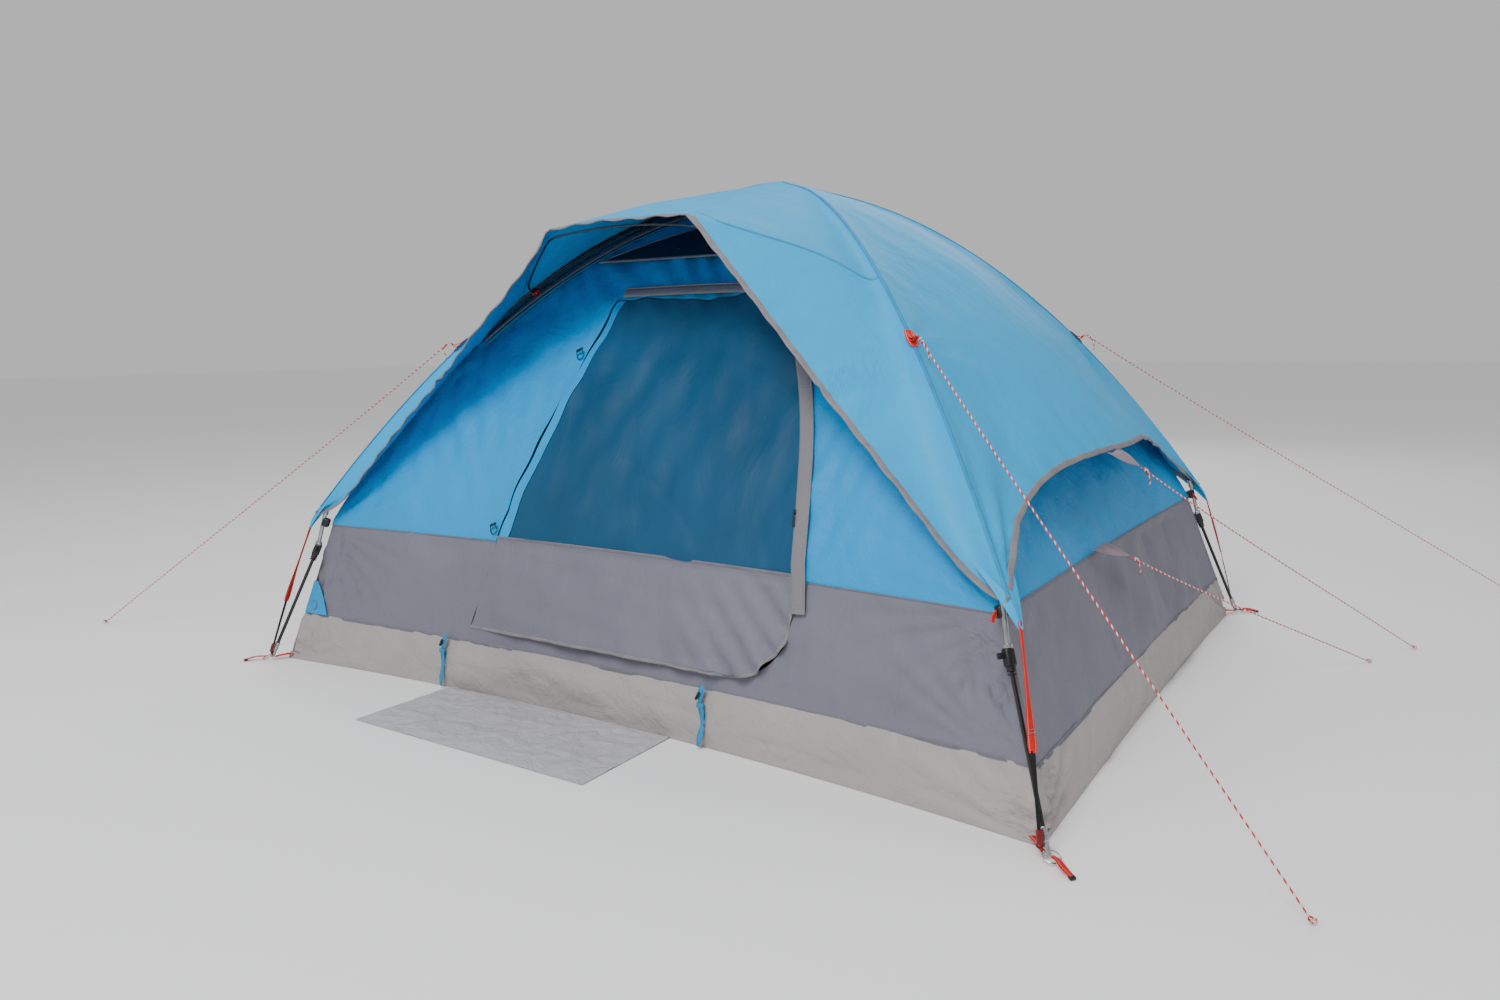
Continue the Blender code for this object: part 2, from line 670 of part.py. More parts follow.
def make_hub():
    """Base and cap with a groove for the pivot ring between them, and four slots for the poles."""
    middle = (0.0, 0.0, HUB_RING_Z)
    groove = bmesh.new()
    bmesh.ops.create_circle(groove, segments=8, radius=0.0026)
    bmesh.ops.transform(groove, matrix=Matrix.Translation((HUB_RING_R, 0, HUB_RING_Z)) @ Matrix.Rotation(
        math.pi / 2, 4, "X"), verts=groove.verts)
    bmesh.ops.spin(groove, geom=groove.edges[:], cent=(0, 0, 0), axis=(0, 0, 1),
                   angle=2 * math.pi, steps=28)
    bmesh.ops.remove_doubles(groove, verts=groove.verts, dist=0.00002)
    bmesh.ops.recalc_face_normals(groove, faces=groove.faces)
    groove_mesh = bpy.data.meshes.new("groove")
    groove.to_mesh(groove_mesh)
    groove.free()
    slots = []
    for corner in CORNERS:
        _, across = diagonal(corner)
        start, end = at(corner, 0.030, HUB_RING_Z), at(corner, 0.080, HUB_RING_Z)
        slots.append(block(start, end, 0.0105, 0.060, across))
    low, high = Vector(middle) - Vector((0, 0, 0.014)), Vector(middle) + Vector((0, 0, 0.018))
    base = turned(low, middle, [(0, HUB_R - 0.004), (0.003, HUB_R), (0.0138, HUB_R)], 24)
    cap = turned(middle, high, [(0.0002, HUB_R), (0.007, HUB_R), (0.013, 0.040), (0.016, 0.020)], 24)
    add("hub_base", combine(base, [groove_mesh, *slots], "DIFFERENCE"), "plastic", middle)
    add("hub_cap", combine(cap, [groove_mesh, *slots], "DIFFERENCE"), "plastic", middle)
    ring_points = []
    for step in range(29):
        angle = math.radians(10 + 350 * step / 28)
        ring_points.append((HUB_RING_R * math.cos(angle), HUB_RING_R * math.sin(angle), HUB_RING_Z))
    add("hub_pivot_ring", tube(ring_points, 0.0018, 1), "metal", middle)


def make_upper_poles():
    """Curved poles from the hub to the elbows, each with a flat pierced end on the hub's ring."""
    for corner in CORNERS:
        out, across = diagonal(corner)
        points = [at(corner, HUB_RING_R + 0.014, pole_z(HUB_RING_R) - 0.001)]
        for step in range(1, 19):
            r = HUB_RING_R + 0.014 + (POLE_END_R - HUB_RING_R - 0.014) * step / 18
            points.append(at(corner, r, pole_z(r)))
        pivot = at(corner, HUB_RING_R, HUB_RING_Z)
        tang = turned(pivot - across * 0.004, pivot + across * 0.004, [(0, 0.0062), (0.008, 0.0062)], 14)
        neck = block(pivot + out * 0.003, points[0] + out * 0.006, 0.008, 0.008, across)
        hole = turned(pivot - across * 0.008, pivot + across * 0.008, [(0, 0.0026), (0.016, 0.0026)], 12)
        solid = combine(tang, [neck, tube(points, POLE_RADIUS, 2)], "UNION")
        add("upper_pole_" + corner, combine(solid, [hole], "DIFFERENCE"), "pole", pivot)


def make_elbow_links():
    """Socket under the pole's end, bright tube, and a fork with the elbow's pin."""
    for corner in CORNERS:
        _, across = diagonal(corner)
        top = at(corner, POLE_END_R + 0.0012, pole_z(POLE_END_R) - 0.0022)
        pivot = at(corner, ELBOW_R, ELBOW_Z)
        down = (pivot - top).normalized()
        length = (pivot - top).length
        socket = [(0, 0.0075), (0.002, 0.0088), (0.026, 0.0088), (0.027, 0.0058)]
        collar = [(length - 0.020, 0.0058), (length - 0.019, 0.0098), (length - 0.012, 0.0098)]
        stem = turned(top, pivot, socket + collar, 12)
        cheeks = []
        for sign in (1, -1):
            inner = pivot + across * sign * 0.0042
            ear = turned(inner, inner + across * sign * 0.0032, [(0, 0.0085), (0.0032, 0.0085)], 12)
            plate = block(pivot - down * 0.0125 + across * sign * 0.0058, pivot + across * sign * 0.0058,
                          0.0032, 0.015, across)
            cheeks += [ear, plate]
        pin = turned(pivot - across * 0.0092, pivot + across * 0.0092, [(0, 0.0022), (0.0184, 0.0022)], 12)
        add("elbow_link_" + corner, combine(stem, [*cheeks, pin], "UNION"), "metal", pivot)


def make_lower_legs():
    """Straight legs. The top is a tongue that turns on the elbow's pin."""
    for corner in CORNERS:
        _, across = diagonal(corner)
        pivot = at(corner, ELBOW_R, ELBOW_Z)
        end = at(corner, FERRULE_TOP_R, FERRULE_TOP_Z)
        down = (end - pivot).normalized()
        length = (end - pivot).length
        boss = turned(pivot - across * 0.0037, pivot + across * 0.0037, [(0, 0.0072), (0.0074, 0.0072)], 12)
        neck = block(pivot + down * 0.003, pivot + down * 0.017, 0.0068, 0.011, across)
        stem = turned(pivot, end, [(0.0125, 0.0070), (0.014, 0.0088), (0.032, 0.0088), (0.034, POLE_RADIUS),
                                   (length + 0.015, POLE_RADIUS)], 12)
        hole = turned(pivot - across * 0.008, pivot + across * 0.008, [(0, 0.0027), (0.016, 0.0027)], 10)
        solid = combine(boss, [neck, stem], "UNION")
        add("lower_leg_" + corner, combine(solid, [hole], "DIFFERENCE"), "pole", pivot)


def make_ferrules():
    """Bright feet, bored for the legs and pierced across for the rings."""
    for corner in CORNERS:
        _, across = diagonal(corner)
        start = at(corner, FERRULE_TOP_R, FERRULE_TOP_Z)
        eye = at(corner, RING_EYE_R, RING_EYE_Z)
        pivot = at(corner, ELBOW_R, ELBOW_Z)
        along = (start - pivot).normalized()
        end = start + along * 0.050
        bore = turned(start - along * 0.005, start + along * 0.0165, [(0, 0.0054), (0.0215, 0.0054)], 12)
        profile = [(0, 0.0064), (0.001, 0.0068), (0.024, 0.0068),
                   (0.026, 0.0060), (0.049, 0.0060), (0.050, 0.0052)]
        shell = turned(start, end, profile, 12)
        hole = turned(eye - across * 0.012, eye + across * 0.012, [(0, 0.0033), (0.024, 0.0033)], 12)
        add("foot_ferrule_" + corner, combine(shell, [bore, hole], "DIFFERENCE"), "metal", eye)


def make_foot_rings():
    """Wire rings through the ferrules. A peg or its loop goes through them."""
    for corner in CORNERS:
        out, across = diagonal(corner)
        eye = at(corner, RING_EYE_R, RING_EYE_Z)
        tilt = (out * 0.95 - Vector((0, 0, 0.31))).normalized()
        radius = 0.0165
        centre = eye + tilt * radius
        points = []
        for step in range(21):
            angle = math.radians(4 + 352 * step / 20)
            points.append(centre + tilt * radius * math.cos(angle) + across * radius * math.sin(angle))
        add("foot_ring_" + corner, tube(points, 0.0015, 1), "metal", eye)


def clip_centre(corner):
    """The middle of a clip under a front pole, and the pole's slope and underside there."""
    out, across = diagonal(corner)
    r = ROD_R - 0.040
    slope = Vector((out.x, out.y, -RIDGE_DROP * RIDGE_POWER * r ** (RIDGE_POWER - 1))).normalized()
    under = Vector((out.x * slope.z, out.y * slope.z, -math.hypot(slope.x, slope.y)))
    return at(corner, r, pole_z(r)) + under * (POLE_RADIUS + 0.0068), slope, across


def make_brow_rod():
    """The flexible rod under the eave, bent between the two front poles."""
    clip, _, across = clip_centre("front_right")
    forward = across if across.y < 0 else -across
    right = [clip + forward * 0.0125]
    for share in (0.82, 0.66, 0.50, 0.34, 0.20, 0.10, 0.04):
        drop = ROD_CLEARANCE + 0.006 * (1 - share) + 0.020 * share ** 4
        right.append(rod_line(share) + Vector((-0.004, 0.006, -drop)))
    middle = []
    for step in range(9):
        share = 1 - 2 * step / 8
        height = EAVE_Z - 0.0125 + EAVE_RISE * 0.9 * (1 - share ** 2)
        middle.append(Vector((0.196 * share, EAVE_Y + 0.009, height)))
    left = [Vector((-point.x, point.y, point.z)) for point in reversed(right)]
    add("brow_rod", tube(right + middle + left, 0.0025, 2), "pole")


def make_brow_clips():
    """Clips under the front poles. They carry the ends of the rod and hold the inner tent up."""
    for corner in ("front_right", "front_left"):
        centre, slope, across = clip_centre(corner)
        body = block(centre - slope * 0.012, centre + slope * 0.012, 0.016, 0.012, across)
        add("brow_clip_" + corner, body, "webbing", centre)


# Guylines

def straight(start, end, count=15):
    """Points on a taut line. The line sags a little between its ends."""
    start, end = Vector(start), Vector(end)
    points = []
    for step in range(count + 1):
        share = step / count
        sag = 0.012 * 4 * share * (1 - share)
        points.append(start.lerp(end, share) - Vector((0, 0, sag * (1 - share))))
    return points


def make_guylines():
    for corner, (x, y) in GUY_PEGS.items():
        start = at(corner, TAB_R + 0.032, ridge_z(TAB_R) + 0.0105)
        add("guyline_" + corner, tube(straight(start, (x, y, 0.003)), GUY_RADIUS, 2), "cord")
    for name, tip in (("right_fly", SIDE_TAB_TIP), ("right_wall", WALL_TAB_TIP)):
        start = Vector(tip) + Vector((0.003, 0, -0.001))
        add("guyline_" + name, tube(straight(start, (*SIDE_PEGS[name], 0.003)), GUY_RADIUS, 2), "cord")


def main():
    clear_scene()
    make_tub()
    make_walls()
    make_door()
    make_zip_cover()
    make_zip_slider()
    make_fly()
    make_mat()
    make_mat_straps()
    make_fly_straps()
    make_corner_webbings()
    make_pole_tabs()
    make_side_tabs()
    make_hub()
    make_upper_poles()
    make_elbow_links()
    make_lower_legs()
    make_ferrules()
    make_foot_rings()
    make_brow_rod()
    make_brow_clips()
    make_guylines()


main()
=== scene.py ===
import math

import bmesh
import bpy
import numpy as np
from mathutils import Matrix, Vector


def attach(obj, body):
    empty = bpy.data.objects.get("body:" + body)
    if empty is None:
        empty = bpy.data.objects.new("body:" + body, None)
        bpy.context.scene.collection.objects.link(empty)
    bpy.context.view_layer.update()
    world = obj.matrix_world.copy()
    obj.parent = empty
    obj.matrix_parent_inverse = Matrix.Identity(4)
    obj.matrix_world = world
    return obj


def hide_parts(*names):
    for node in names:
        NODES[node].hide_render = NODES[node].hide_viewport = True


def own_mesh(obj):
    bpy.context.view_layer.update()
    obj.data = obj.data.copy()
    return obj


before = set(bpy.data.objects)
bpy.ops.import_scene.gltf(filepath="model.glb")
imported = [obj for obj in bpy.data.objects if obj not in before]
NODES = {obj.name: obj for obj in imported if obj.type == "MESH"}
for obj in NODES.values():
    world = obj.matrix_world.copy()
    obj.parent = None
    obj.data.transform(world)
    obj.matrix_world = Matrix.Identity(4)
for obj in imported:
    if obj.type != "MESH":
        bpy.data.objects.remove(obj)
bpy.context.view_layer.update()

# Sizes shared with the CAD model, in metres
FOOT_X, FOOT_Y = 1.186, 1.0165
CORNER_R, CORNER_Z = 1.400, 0.440
APEX_Z, RIDGE_POWER, HUB_BUMP = 1.385, 1.9, 0.018
WALL_INSET, WALL_START_R, SIDE_SAG, ROOF_DIP = 0.036, 1.400, 0.15, 0.032
FLOOR_X, FLOOR_Y = 1.157, 0.973
TUB_X, TUB_Y, TUB_Z = 1.129, 0.922, 0.132
SEAM_X, SEAM_Y, SEAM_Z = 1.036, 0.873, 0.404
EAVE_X, EAVE_Y, EAVE_Z, EAVE_RISE, EAVE_SHARE = 0.225, -0.757, 1.214, 0.012, 1 / 6
ROD_R, ARCH_Z, ARCH_X, ARCH_Y = 0.775, 0.655, 1.050, 0.900
POLE_DROP, HUB_DIP = 0.013, 0.0295
ELBOW_R, ELBOW_Z = 1.400, 0.338
FERRULE_TOP_R, FERRULE_TOP_Z = 1.534, 0.054
RING_EYE_R = 1.5505
DOOR_TOP, DOOR_BOTTOM = 1.050, 0.172
DOOR_LEFT_TOP, DOOR_LEFT_BOTTOM, DOOR_RIGHT = -0.240, -0.456, 0.548
MAT_LEFT, MAT_RIGHT, MAT_FRONT = -0.520, 0.245, -1.212
FLOOR_SAG = 0.080                # the middle of the floor's front and back edges lies this far in
TAB_R = 0.955
GUY_RADIUS = 0.0017
SIDE_TAB_BASE, SIDE_TAB_TIP = (1.0530, -0.150, 0.652), (1.1140, -0.150, 0.617)
WALL_TAB_BASE, WALL_TAB_TIP = (1.0400, -0.206, 0.424), (1.1120, -0.206, 0.405)
GUY_PEGS = {"front_right": (1.604, -1.004), "back_right": (1.960, 1.840), "front_left": (-2.080, -1.060)}
SIDE_PEGS = {"right_fly": (1.6990, 0.8260), "right_wall": (1.5950, 0.6080)}
CORNERS = {"front_right": (1, -1), "back_right": (1, 1), "front_left": (-1, -1), "back_left": (-1, 1)}
FOOT_R = math.hypot(FOOT_X, FOOT_Y)
RIDGE_DROP = (APEX_Z - CORNER_Z) / CORNER_R ** RIDGE_POWER
STRAP_SIGN = {"front_right": 1, "front_left": -1, "back_right": -1, "back_left": 1}

# What is left of each cloth's height when the hub is down, and the height that the fly keeps
FLY_KEEP, WALL_KEEP, STRAP_KEEP = 0.15, 0.20, 0.9
FLY_ANCHOR = 0.455

# Sizes of the visible pieces only
FLY_CLOTH, THIN_CLOTH = 0.0009, 0.0008
FLOOR_LIFT = 0.0012              # the floor's cloth stands this far above the ground
KNEE_SHARE = 0.62                # share of the front gore's rows above its crease
DOOR_SPLIT = 0.412               # height of the seam between the door's netting and its skirt
CLIP_R, CLIP_GAP = ROD_R - 0.040, 0.0116       # the front poles' clips, and how far below the pole
KNOT_R = 0.0034
CURVED_GORE_SHARE = 0.31         # a gore that fills less of its rows and columns than this is a curved one

FINE = 1.0          # how fine the cloth's grids are
FRONT_A, FRONT_B, FRONT_C = int(44 * FINE), int(60 * FINE), int(48 * FINE)  # columns left of, on, right of door


# ---------------------------------------------------------------- materials

def rgb(code):
    """Linear colour from a hex code."""
    made = []
    for start in (0, 2, 4):
        value = int(code[start:start + 2], 16) / 255
        made.append(value / 12.92 if value <= 0.04045 else ((value + 0.055) / 1.055) ** 2.4)
    return (*made, 1.0)


class Graph:
    """Short way to add shader nodes."""

    def __init__(self, name):
        self.material = bpy.data.materials.new(name)
        self.material.use_nodes = True
        self.tree = self.material.node_tree
        self.shader = self.tree.nodes["Principled BSDF"]
        self.coords = self.tree.nodes.new("ShaderNodeTexCoord")

    def node(self, kind, values=None, **settings):
        made = self.tree.nodes.new(kind)
        for key, value in settings.items():
            setattr(made, key, value)
        for key, value in (values or {}).items():
            if isinstance(value, bpy.types.NodeSocket):
                self.tree.links.new(value, made.inputs[key])
            else:
                made.inputs[key].default_value = value
        return made

    def math(self, operation, a, b=0.0, clamp=False):
        return self.node("ShaderNodeMath", {0: a, 1: b}, operation=operation, use_clamp=clamp).outputs[0]

    def noise(self, scale, detail=3.0, roughness=0.55, vector=None, stretch=(1, 1, 1), distortion=0.0):
        source = vector or self.coords.outputs["Object"]
        mapping = self.node("ShaderNodeMapping", {"Vector": source, "Scale": stretch})
        return self.node("ShaderNodeTexNoise", {
            "Vector": mapping.outputs[0], "Scale": scale, "Detail": detail, "Roughness": roughness,
            "Distortion": distortion}).outputs["Fac"]

    def ramp(self, fac, stops):
        made = self.node("ShaderNodeValToRGB", {"Fac": fac})
        ramp = made.color_ramp
        while len(ramp.elements) < len(stops):
            ramp.elements.new(0.5)
        for element, (place, colour) in zip(ramp.elements, stops):
            element.position = place
            element.color = colour
        return made.outputs["Color"]

    def mix(self, fac, a, b, blend="MIX"):
        made = self.node("ShaderNodeMix", data_type="RGBA", blend_type=blend)
        for index, value in ((0, fac), (6, a), (7, b)):
            if isinstance(value, bpy.types.NodeSocket):
                self.tree.links.new(value, made.inputs[index])
            else:
                made.inputs[index].default_value = value
        return made.outputs[2]

    def bump(self, height, strength, distance, normal=None):
        values = {"Height": height, "Strength": strength, "Distance": distance}
        if normal is not None:
            values["Normal"] = normal
        return self.node("ShaderNodeBump", values).outputs[0]

    def link(self, socket, name):
        self.tree.links.new(socket, self.shader.inputs[name])

    def set(self, **values):
        for key, value in values.items():
            self.shader.inputs[key.replace("_", " ")].default_value = value


def shade(colour, factor):
    return (min(colour[0] * factor, 1), min(colour[1] * factor, 1), min(colour[2] * factor, 1), 1.0)


def cloth(name, colour, rough=0.52, vary=0.10, crumple=0.35, crumple_size=9.0, sheen=0.04, weave=1100.0,
          stretch=(1, 1, 1), creases=0.3):
    """Coated woven cloth: fine weave, cloudy colour, soft crumples and sharper small creases."""
    g = Graph(name)
    uv = g.coords.outputs["UV"]
    base = rgb(colour)
    cloud = g.noise(2.3, 4.0, 0.6)
    tone = g.ramp(cloud, [(0.30, shade(base, 1 - vary)), (0.70, shade(base, 1 + vary))])
    fibre = g.noise(420.0, 2.0, 0.6, vector=uv, stretch=(1, 0.12, 1))
    tone = g.mix(g.math("MULTIPLY", fibre, 0.10), tone, shade(base, 0.62))
    g.link(tone, "Base Color")
    waves = {"Vector": uv, "Scale": weave / 6.28}
    across = g.node("ShaderNodeTexWave", waves, bands_direction="X").outputs["Fac"]
    along = g.node("ShaderNodeTexWave", waves, bands_direction="Y").outputs["Fac"]
    threads = g.math("ADD", across, along)
    normal = g.bump(threads, 0.10, 0.0003)
    soft = g.noise(crumple_size, 5.0, 0.62, stretch=stretch, distortion=0.8)
    normal = g.bump(soft, crumple, 0.016, normal)
    mapping = g.node("ShaderNodeMapping", {"Vector": g.coords.outputs["Object"], "Scale": stretch})
    folded = g.node("ShaderNodeTexVoronoi", {"Vector": mapping.outputs[0], "Scale": crumple_size * 1.7},
                    feature="DISTANCE_TO_EDGE").outputs["Distance"]
    edge = g.math("MINIMUM", folded, 0.10)
    normal = g.bump(edge, creases, 0.012, normal)
    g.link(normal, "Normal")
    spread = g.math("ADD", g.math("MULTIPLY", g.noise(14.0, 3.0), 0.16), rough - 0.08)
    g.link(spread, "Roughness")
    g.set(Sheen_Weight=sheen, Sheen_Roughness=0.45, Sheen_Tint=base, Specular_IOR_Level=0.22)
    return g.material


def tape(name, colour, stitch="9A9A9C", rough=0.66, ribs=900.0, stitches=True):
    """Woven tape. UV x runs along it in metres and UV y across it, from 0 to 1."""
    g = Graph(name)
    split = g.node("ShaderNodeSeparateXYZ", {"Vector": g.coords.outputs["UV"]})
    along, across = split.outputs[0], split.outputs[1]
    base = rgb(colour)
    tone = g.ramp(g.noise(30.0, 4.0, 0.6), [(0.3, shade(base, 0.84)), (0.7, shade(base, 1.12))])
    rib = g.math("SINE", g.math("MULTIPLY", along, ribs * 6.28))
    normal = g.bump(rib, 0.16, 0.0004)
    if stitches:
        dash = g.math("LESS_THAN", g.math("FRACT", g.math("MULTIPLY", along, 220.0)), 0.66)
        off = g.math("ABSOLUTE", g.math("SUBTRACT", g.math("ABSOLUTE", g.math("SUBTRACT", across, 0.5)), 0.30))
        thread = g.math("MULTIPLY", dash, g.math("LESS_THAN", off, 0.035))
        tone = g.mix(g.math("MULTIPLY", thread, 0.75), tone, rgb(stitch))
        normal = g.bump(thread, 0.5, 0.0008, normal)
    normal = g.bump(g.noise(60.0, 3.0), 0.25, 0.002, normal)
    g.link(tone, "Base Color")
    g.link(normal, "Normal")
    g.link(g.math("ADD", g.math("MULTIPLY", g.noise(80.0), 0.2), rough - 0.1), "Roughness")
    g.set(Sheen_Weight=0.05, Sheen_Tint=base, Specular_IOR_Level=0.25)
    return g.material


def striped_cord(name):
    """Braided cord with slanting red tracers on white."""
    g = Graph(name)
    split = g.node("ShaderNodeSeparateXYZ", {"Vector": g.coords.outputs["UV"]})
    along, around = split.outputs[0], split.outputs[1]
    turn = g.math("ADD", g.math("MULTIPLY", along, 62.0), around)
    stripe = g.math("LESS_THAN", g.math("FRACT", turn), 0.60)
    red = g.ramp(g.noise(300.0), [(0.3, rgb("B3101C")), (0.7, rgb("DC2A30"))])
    white = g.ramp(g.noise(260.0), [(0.3, rgb("D9D2D2")), (0.7, rgb("F4F1F0"))])
    g.link(g.mix(stripe, white, red), "Base Color")
    braid = g.math("SINE", g.math("MULTIPLY", turn, 6.28 * 4))
    g.link(g.bump(braid, 0.4, 0.0006), "Normal")
    g.link(g.math("ADD", g.math("MULTIPLY", g.noise(200.0), 0.2), 0.6), "Roughness")
    g.set(Sheen_Weight=0.1)
    return g.material


def hard(name, colour, rough, metallic=0.0, wear="", streak=(1, 1, 1), coat=0.0, bump=0.15, size=160.0):
    """Moulded or drawn surface with fine grain and worn patches."""
    g = Graph(name)
    base = rgb(colour)
    patches = g.noise(45.0, 5.0, 0.65)
    tone = g.ramp(patches, [(0.35, shade(base, 0.82)), (0.75, shade(base, 1.15))])
    if wear:
        rubbed = g.ramp(g.noise(90.0, 6.0, 0.7, stretch=streak), [(0.60, (0, 0, 0, 1)), (0.78, (1, 1, 1, 1))])
        tone = g.mix(g.math("MULTIPLY", rubbed, 0.35), tone, rgb(wear))
    g.link(tone, "Base Color")
    grain = g.noise(size, 3.0, 0.6, stretch=streak)
    g.link(g.bump(grain, bump, 0.0008), "Normal")
    g.link(g.math("ADD", g.math("MULTIPLY", patches, 0.24), rough - 0.12), "Roughness")
    g.set(Metallic=metallic, Coat_Weight=coat)
    return g.material


def mesh_net(name, colour):
    """Dense dark netting of the door: fine cells, a little sheen."""
    g = Graph(name)
    uv = g.coords.outputs["UV"]
    base = rgb(colour)
    cloud = g.noise(2.0, 4.0, 0.55)
    tone = g.ramp(cloud, [(0.30, shade(base, 0.80)), (0.70, shade(base, 1.22))])
    cells = g.node("ShaderNodeTexVoronoi", {"Vector": uv, "Scale": 700.0, "Randomness": 0.25},
                   feature="DISTANCE_TO_EDGE").outputs["Distance"]
    holes = g.math("LESS_THAN", 0.16, cells)
    tone = g.mix(g.math("MULTIPLY", holes, 0.30), tone, shade(base, 0.55))
    g.link(tone, "Base Color")
    normal = g.bump(cells, 0.22, 0.0005)
    soft = g.noise(7.0, 4.0, 0.6, stretch=(1.0, 1.0, 0.45), distortion=1.2)
    g.link(g.bump(soft, 0.40, 0.016, normal), "Normal")
    g.link(g.math("ADD", g.math("MULTIPLY", g.noise(10.0), 0.2), 0.42), "Roughness")
    g.set(Sheen_Weight=0.05, Sheen_Roughness=0.4, Sheen_Tint=base, Specular_IOR_Level=0.20)
    return g.material


M_FLY = cloth("fly_cloth", "16A8E2", rough=0.50, vary=0.05,
              crumple=0.42, crumple_size=6.5, creases=0.22)
M_FLY_SEAM = tape("fly_seam", "108FC6", stitch="2C6F96", rough=0.55)
M_WALL = cloth("inner_blue_cloth", "1096D6", rough=0.50, vary=0.07,
               crumple=0.60, crumple_size=7.5, creases=0.35)
M_GREY = cloth("inner_grey_cloth", "747481", rough=0.52, vary=0.07,
               crumple=0.65, crumple_size=8.0, creases=0.40, stretch=(1, 1, 0.55))
M_TUB = cloth("groundsheet", "A6A09F", rough=0.48, vary=0.08,
              crumple=0.80, crumple_size=9.0, creases=0.5, sheen=0.05)
M_MAT = cloth("mat_cloth", "BAB9BE", rough=0.42, vary=0.08,
              crumple=0.60, crumple_size=12.0, creases=0.8, sheen=0.05)
M_DOOR = mesh_net("door_netting", "1C4E70")
M_VENT = mesh_net("vent_netting", "0D2A40")
M_TRIM = tape("grey_binding", "7F7C80", stitch="A6A4A8")
M_TRIM_CLOTH = cloth("grey_trim_cloth", "7C7A80", rough=0.6, vary=0.06,
                     crumple=0.30, crumple_size=16.0, creases=0.2)
M_TAB = cloth("tab_cloth", "8E7F86", rough=0.6, vary=0.05, crumple=0.20, crumple_size=20.0)
M_RED = tape("red_webbing", "C9231A", stitch="F0B0A0")
M_DARK_RED = hard("dark_red_plastic", "6E0C12", 0.40, wear="A04038")
M_RED_PLASTIC = hard("red_plastic", "C41A18", 0.36, wear="E08070", coat=0.2)
M_BLACK_TAPE = tape("black_webbing", "17171A", stitch="3A3A3E")
M_BLUE_TAPE = tape("blue_tape", "2E86B4", stitch="1D5F86")
M_POLE = hard("pole_rod", "0C0C0E", 0.30, wear="3A3A3C", streak=(1, 1, 0.2), coat=0.3, bump=0.08)
M_METAL = hard("drawn_metal", "B4B8B8", 0.26, metallic=1.0, streak=(1, 1, 0.1), bump=0.12,
               size=300.0)
M_PLASTIC = hard("black_plastic", "121214", 0.42, wear="3A3A3A")
M_CORD = striped_cord("guy_cord")
# seam tape: a real stitched seam, with its darker grey as painted shade for the seam's thin shadow line
M_SEAM_AND_SHADE = tape("seam_tape_and_painted_shade", "6B6A74", stitch="93929A")


# ---------------------------------------------------------------- shared curves

def diagonal(corner):
    """The outward and the sideways direction of one corner's diagonal plane."""
    sign_x, sign_y = CORNERS[corner]
    out = Vector((sign_x * FOOT_X, sign_y * FOOT_Y, 0.0)).normalized()
    return out, Vector((0, 0, 1)).cross(out)


def at(corner, r, z, side=0.0):
    """A point in a diagonal plane: r from the middle, and side across the plane."""
    out, across = diagonal(corner)
    return out * r + across * side + Vector((0, 0, z))


def ridge_z(r):
    """Height of the fly's ridges."""
    return APEX_Z - RIDGE_DROP * r ** RIDGE_POWER


def ridge_slope(r):
    """How steeply the ridges fall."""
    return RIDGE_DROP * RIDGE_POWER * r ** (RIDGE_POWER - 1)


def pole_z(r):
    """Height of the middle of a pole."""
    return ridge_z(r) - POLE_DROP * math.hypot(1, ridge_slope(r)) - HUB_DIP * math.exp(-r / 0.1)


def front_edge(share):
    """The fly's front edge: 0 is the middle of the eave, 1 the right corner and -1 the left one."""
    size = abs(share)
    sign = 1 if share >= 0 else -1
    if size <= EAVE_SHARE:
        x = EAVE_X * size / EAVE_SHARE
        return Vector((sign * x, EAVE_Y, EAVE_Z + EAVE_RISE * (1 - (x / EAVE_X) ** 2)))
    down = (size - EAVE_SHARE) / (1 - EAVE_SHARE)
    corner_x, corner_y = CORNER_R * FOOT_X / FOOT_R, CORNER_R * FOOT_Y / FOOT_R
    x = EAVE_X + (corner_x - EAVE_X) * down
    z = EAVE_Z + (CORNER_Z - EAVE_Z) * down - 0.11 * down * (1 - down)
    y = EAVE_Y - (corner_y + EAVE_Y) * ((EAVE_Z - z) / (EAVE_Z - CORNER_Z)) ** 1.4
    return Vector((sign * x, y, z))


def arch_edge(share, reach, half_width):
    """A cut-out's edge: how far out, how far across and how high it is."""
    size = abs(share)
    corner_out = CORNER_R * reach[0] / FOOT_R
    out = corner_out + (reach[1] - corner_out) * (1 - size ** 3)
    out -= 0.06 * math.sin(math.pi * size ** 1.5)
    return out, share * CORNER_R * half_width / FOOT_R, ARCH_Z - (ARCH_Z - CORNER_Z) * size ** 3


def side_edge(side):
    """The lower edge of the right, back or left gore, as a function of its share."""
    def edge(share):
        if side in ("left", "right"):
            out, across, z = arch_edge(share, (FOOT_X, ARCH_X), FOOT_Y)
            return Vector((out if side == "right" else -out, across, z))
        out, across, z = arch_edge(share, (FOOT_Y, ARCH_Y), FOOT_X)
        return Vector((across, out, z))
    return edge


def rod_line(share):
    """The line on the fly over the rod: 0 is the eave's corner, 1 the right front ridge."""
    corner = Vector((EAVE_X, EAVE_Y, EAVE_Z))
    out = Vector((FOOT_X, -FOOT_Y, 0)) / FOOT_R
    ridge = out * ROD_R + Vector((0, 0, ridge_z(ROD_R)))
    return corner.lerp(ridge, share) + Vector((0, 0, 0.012 * 4 * share * (1 - share)))


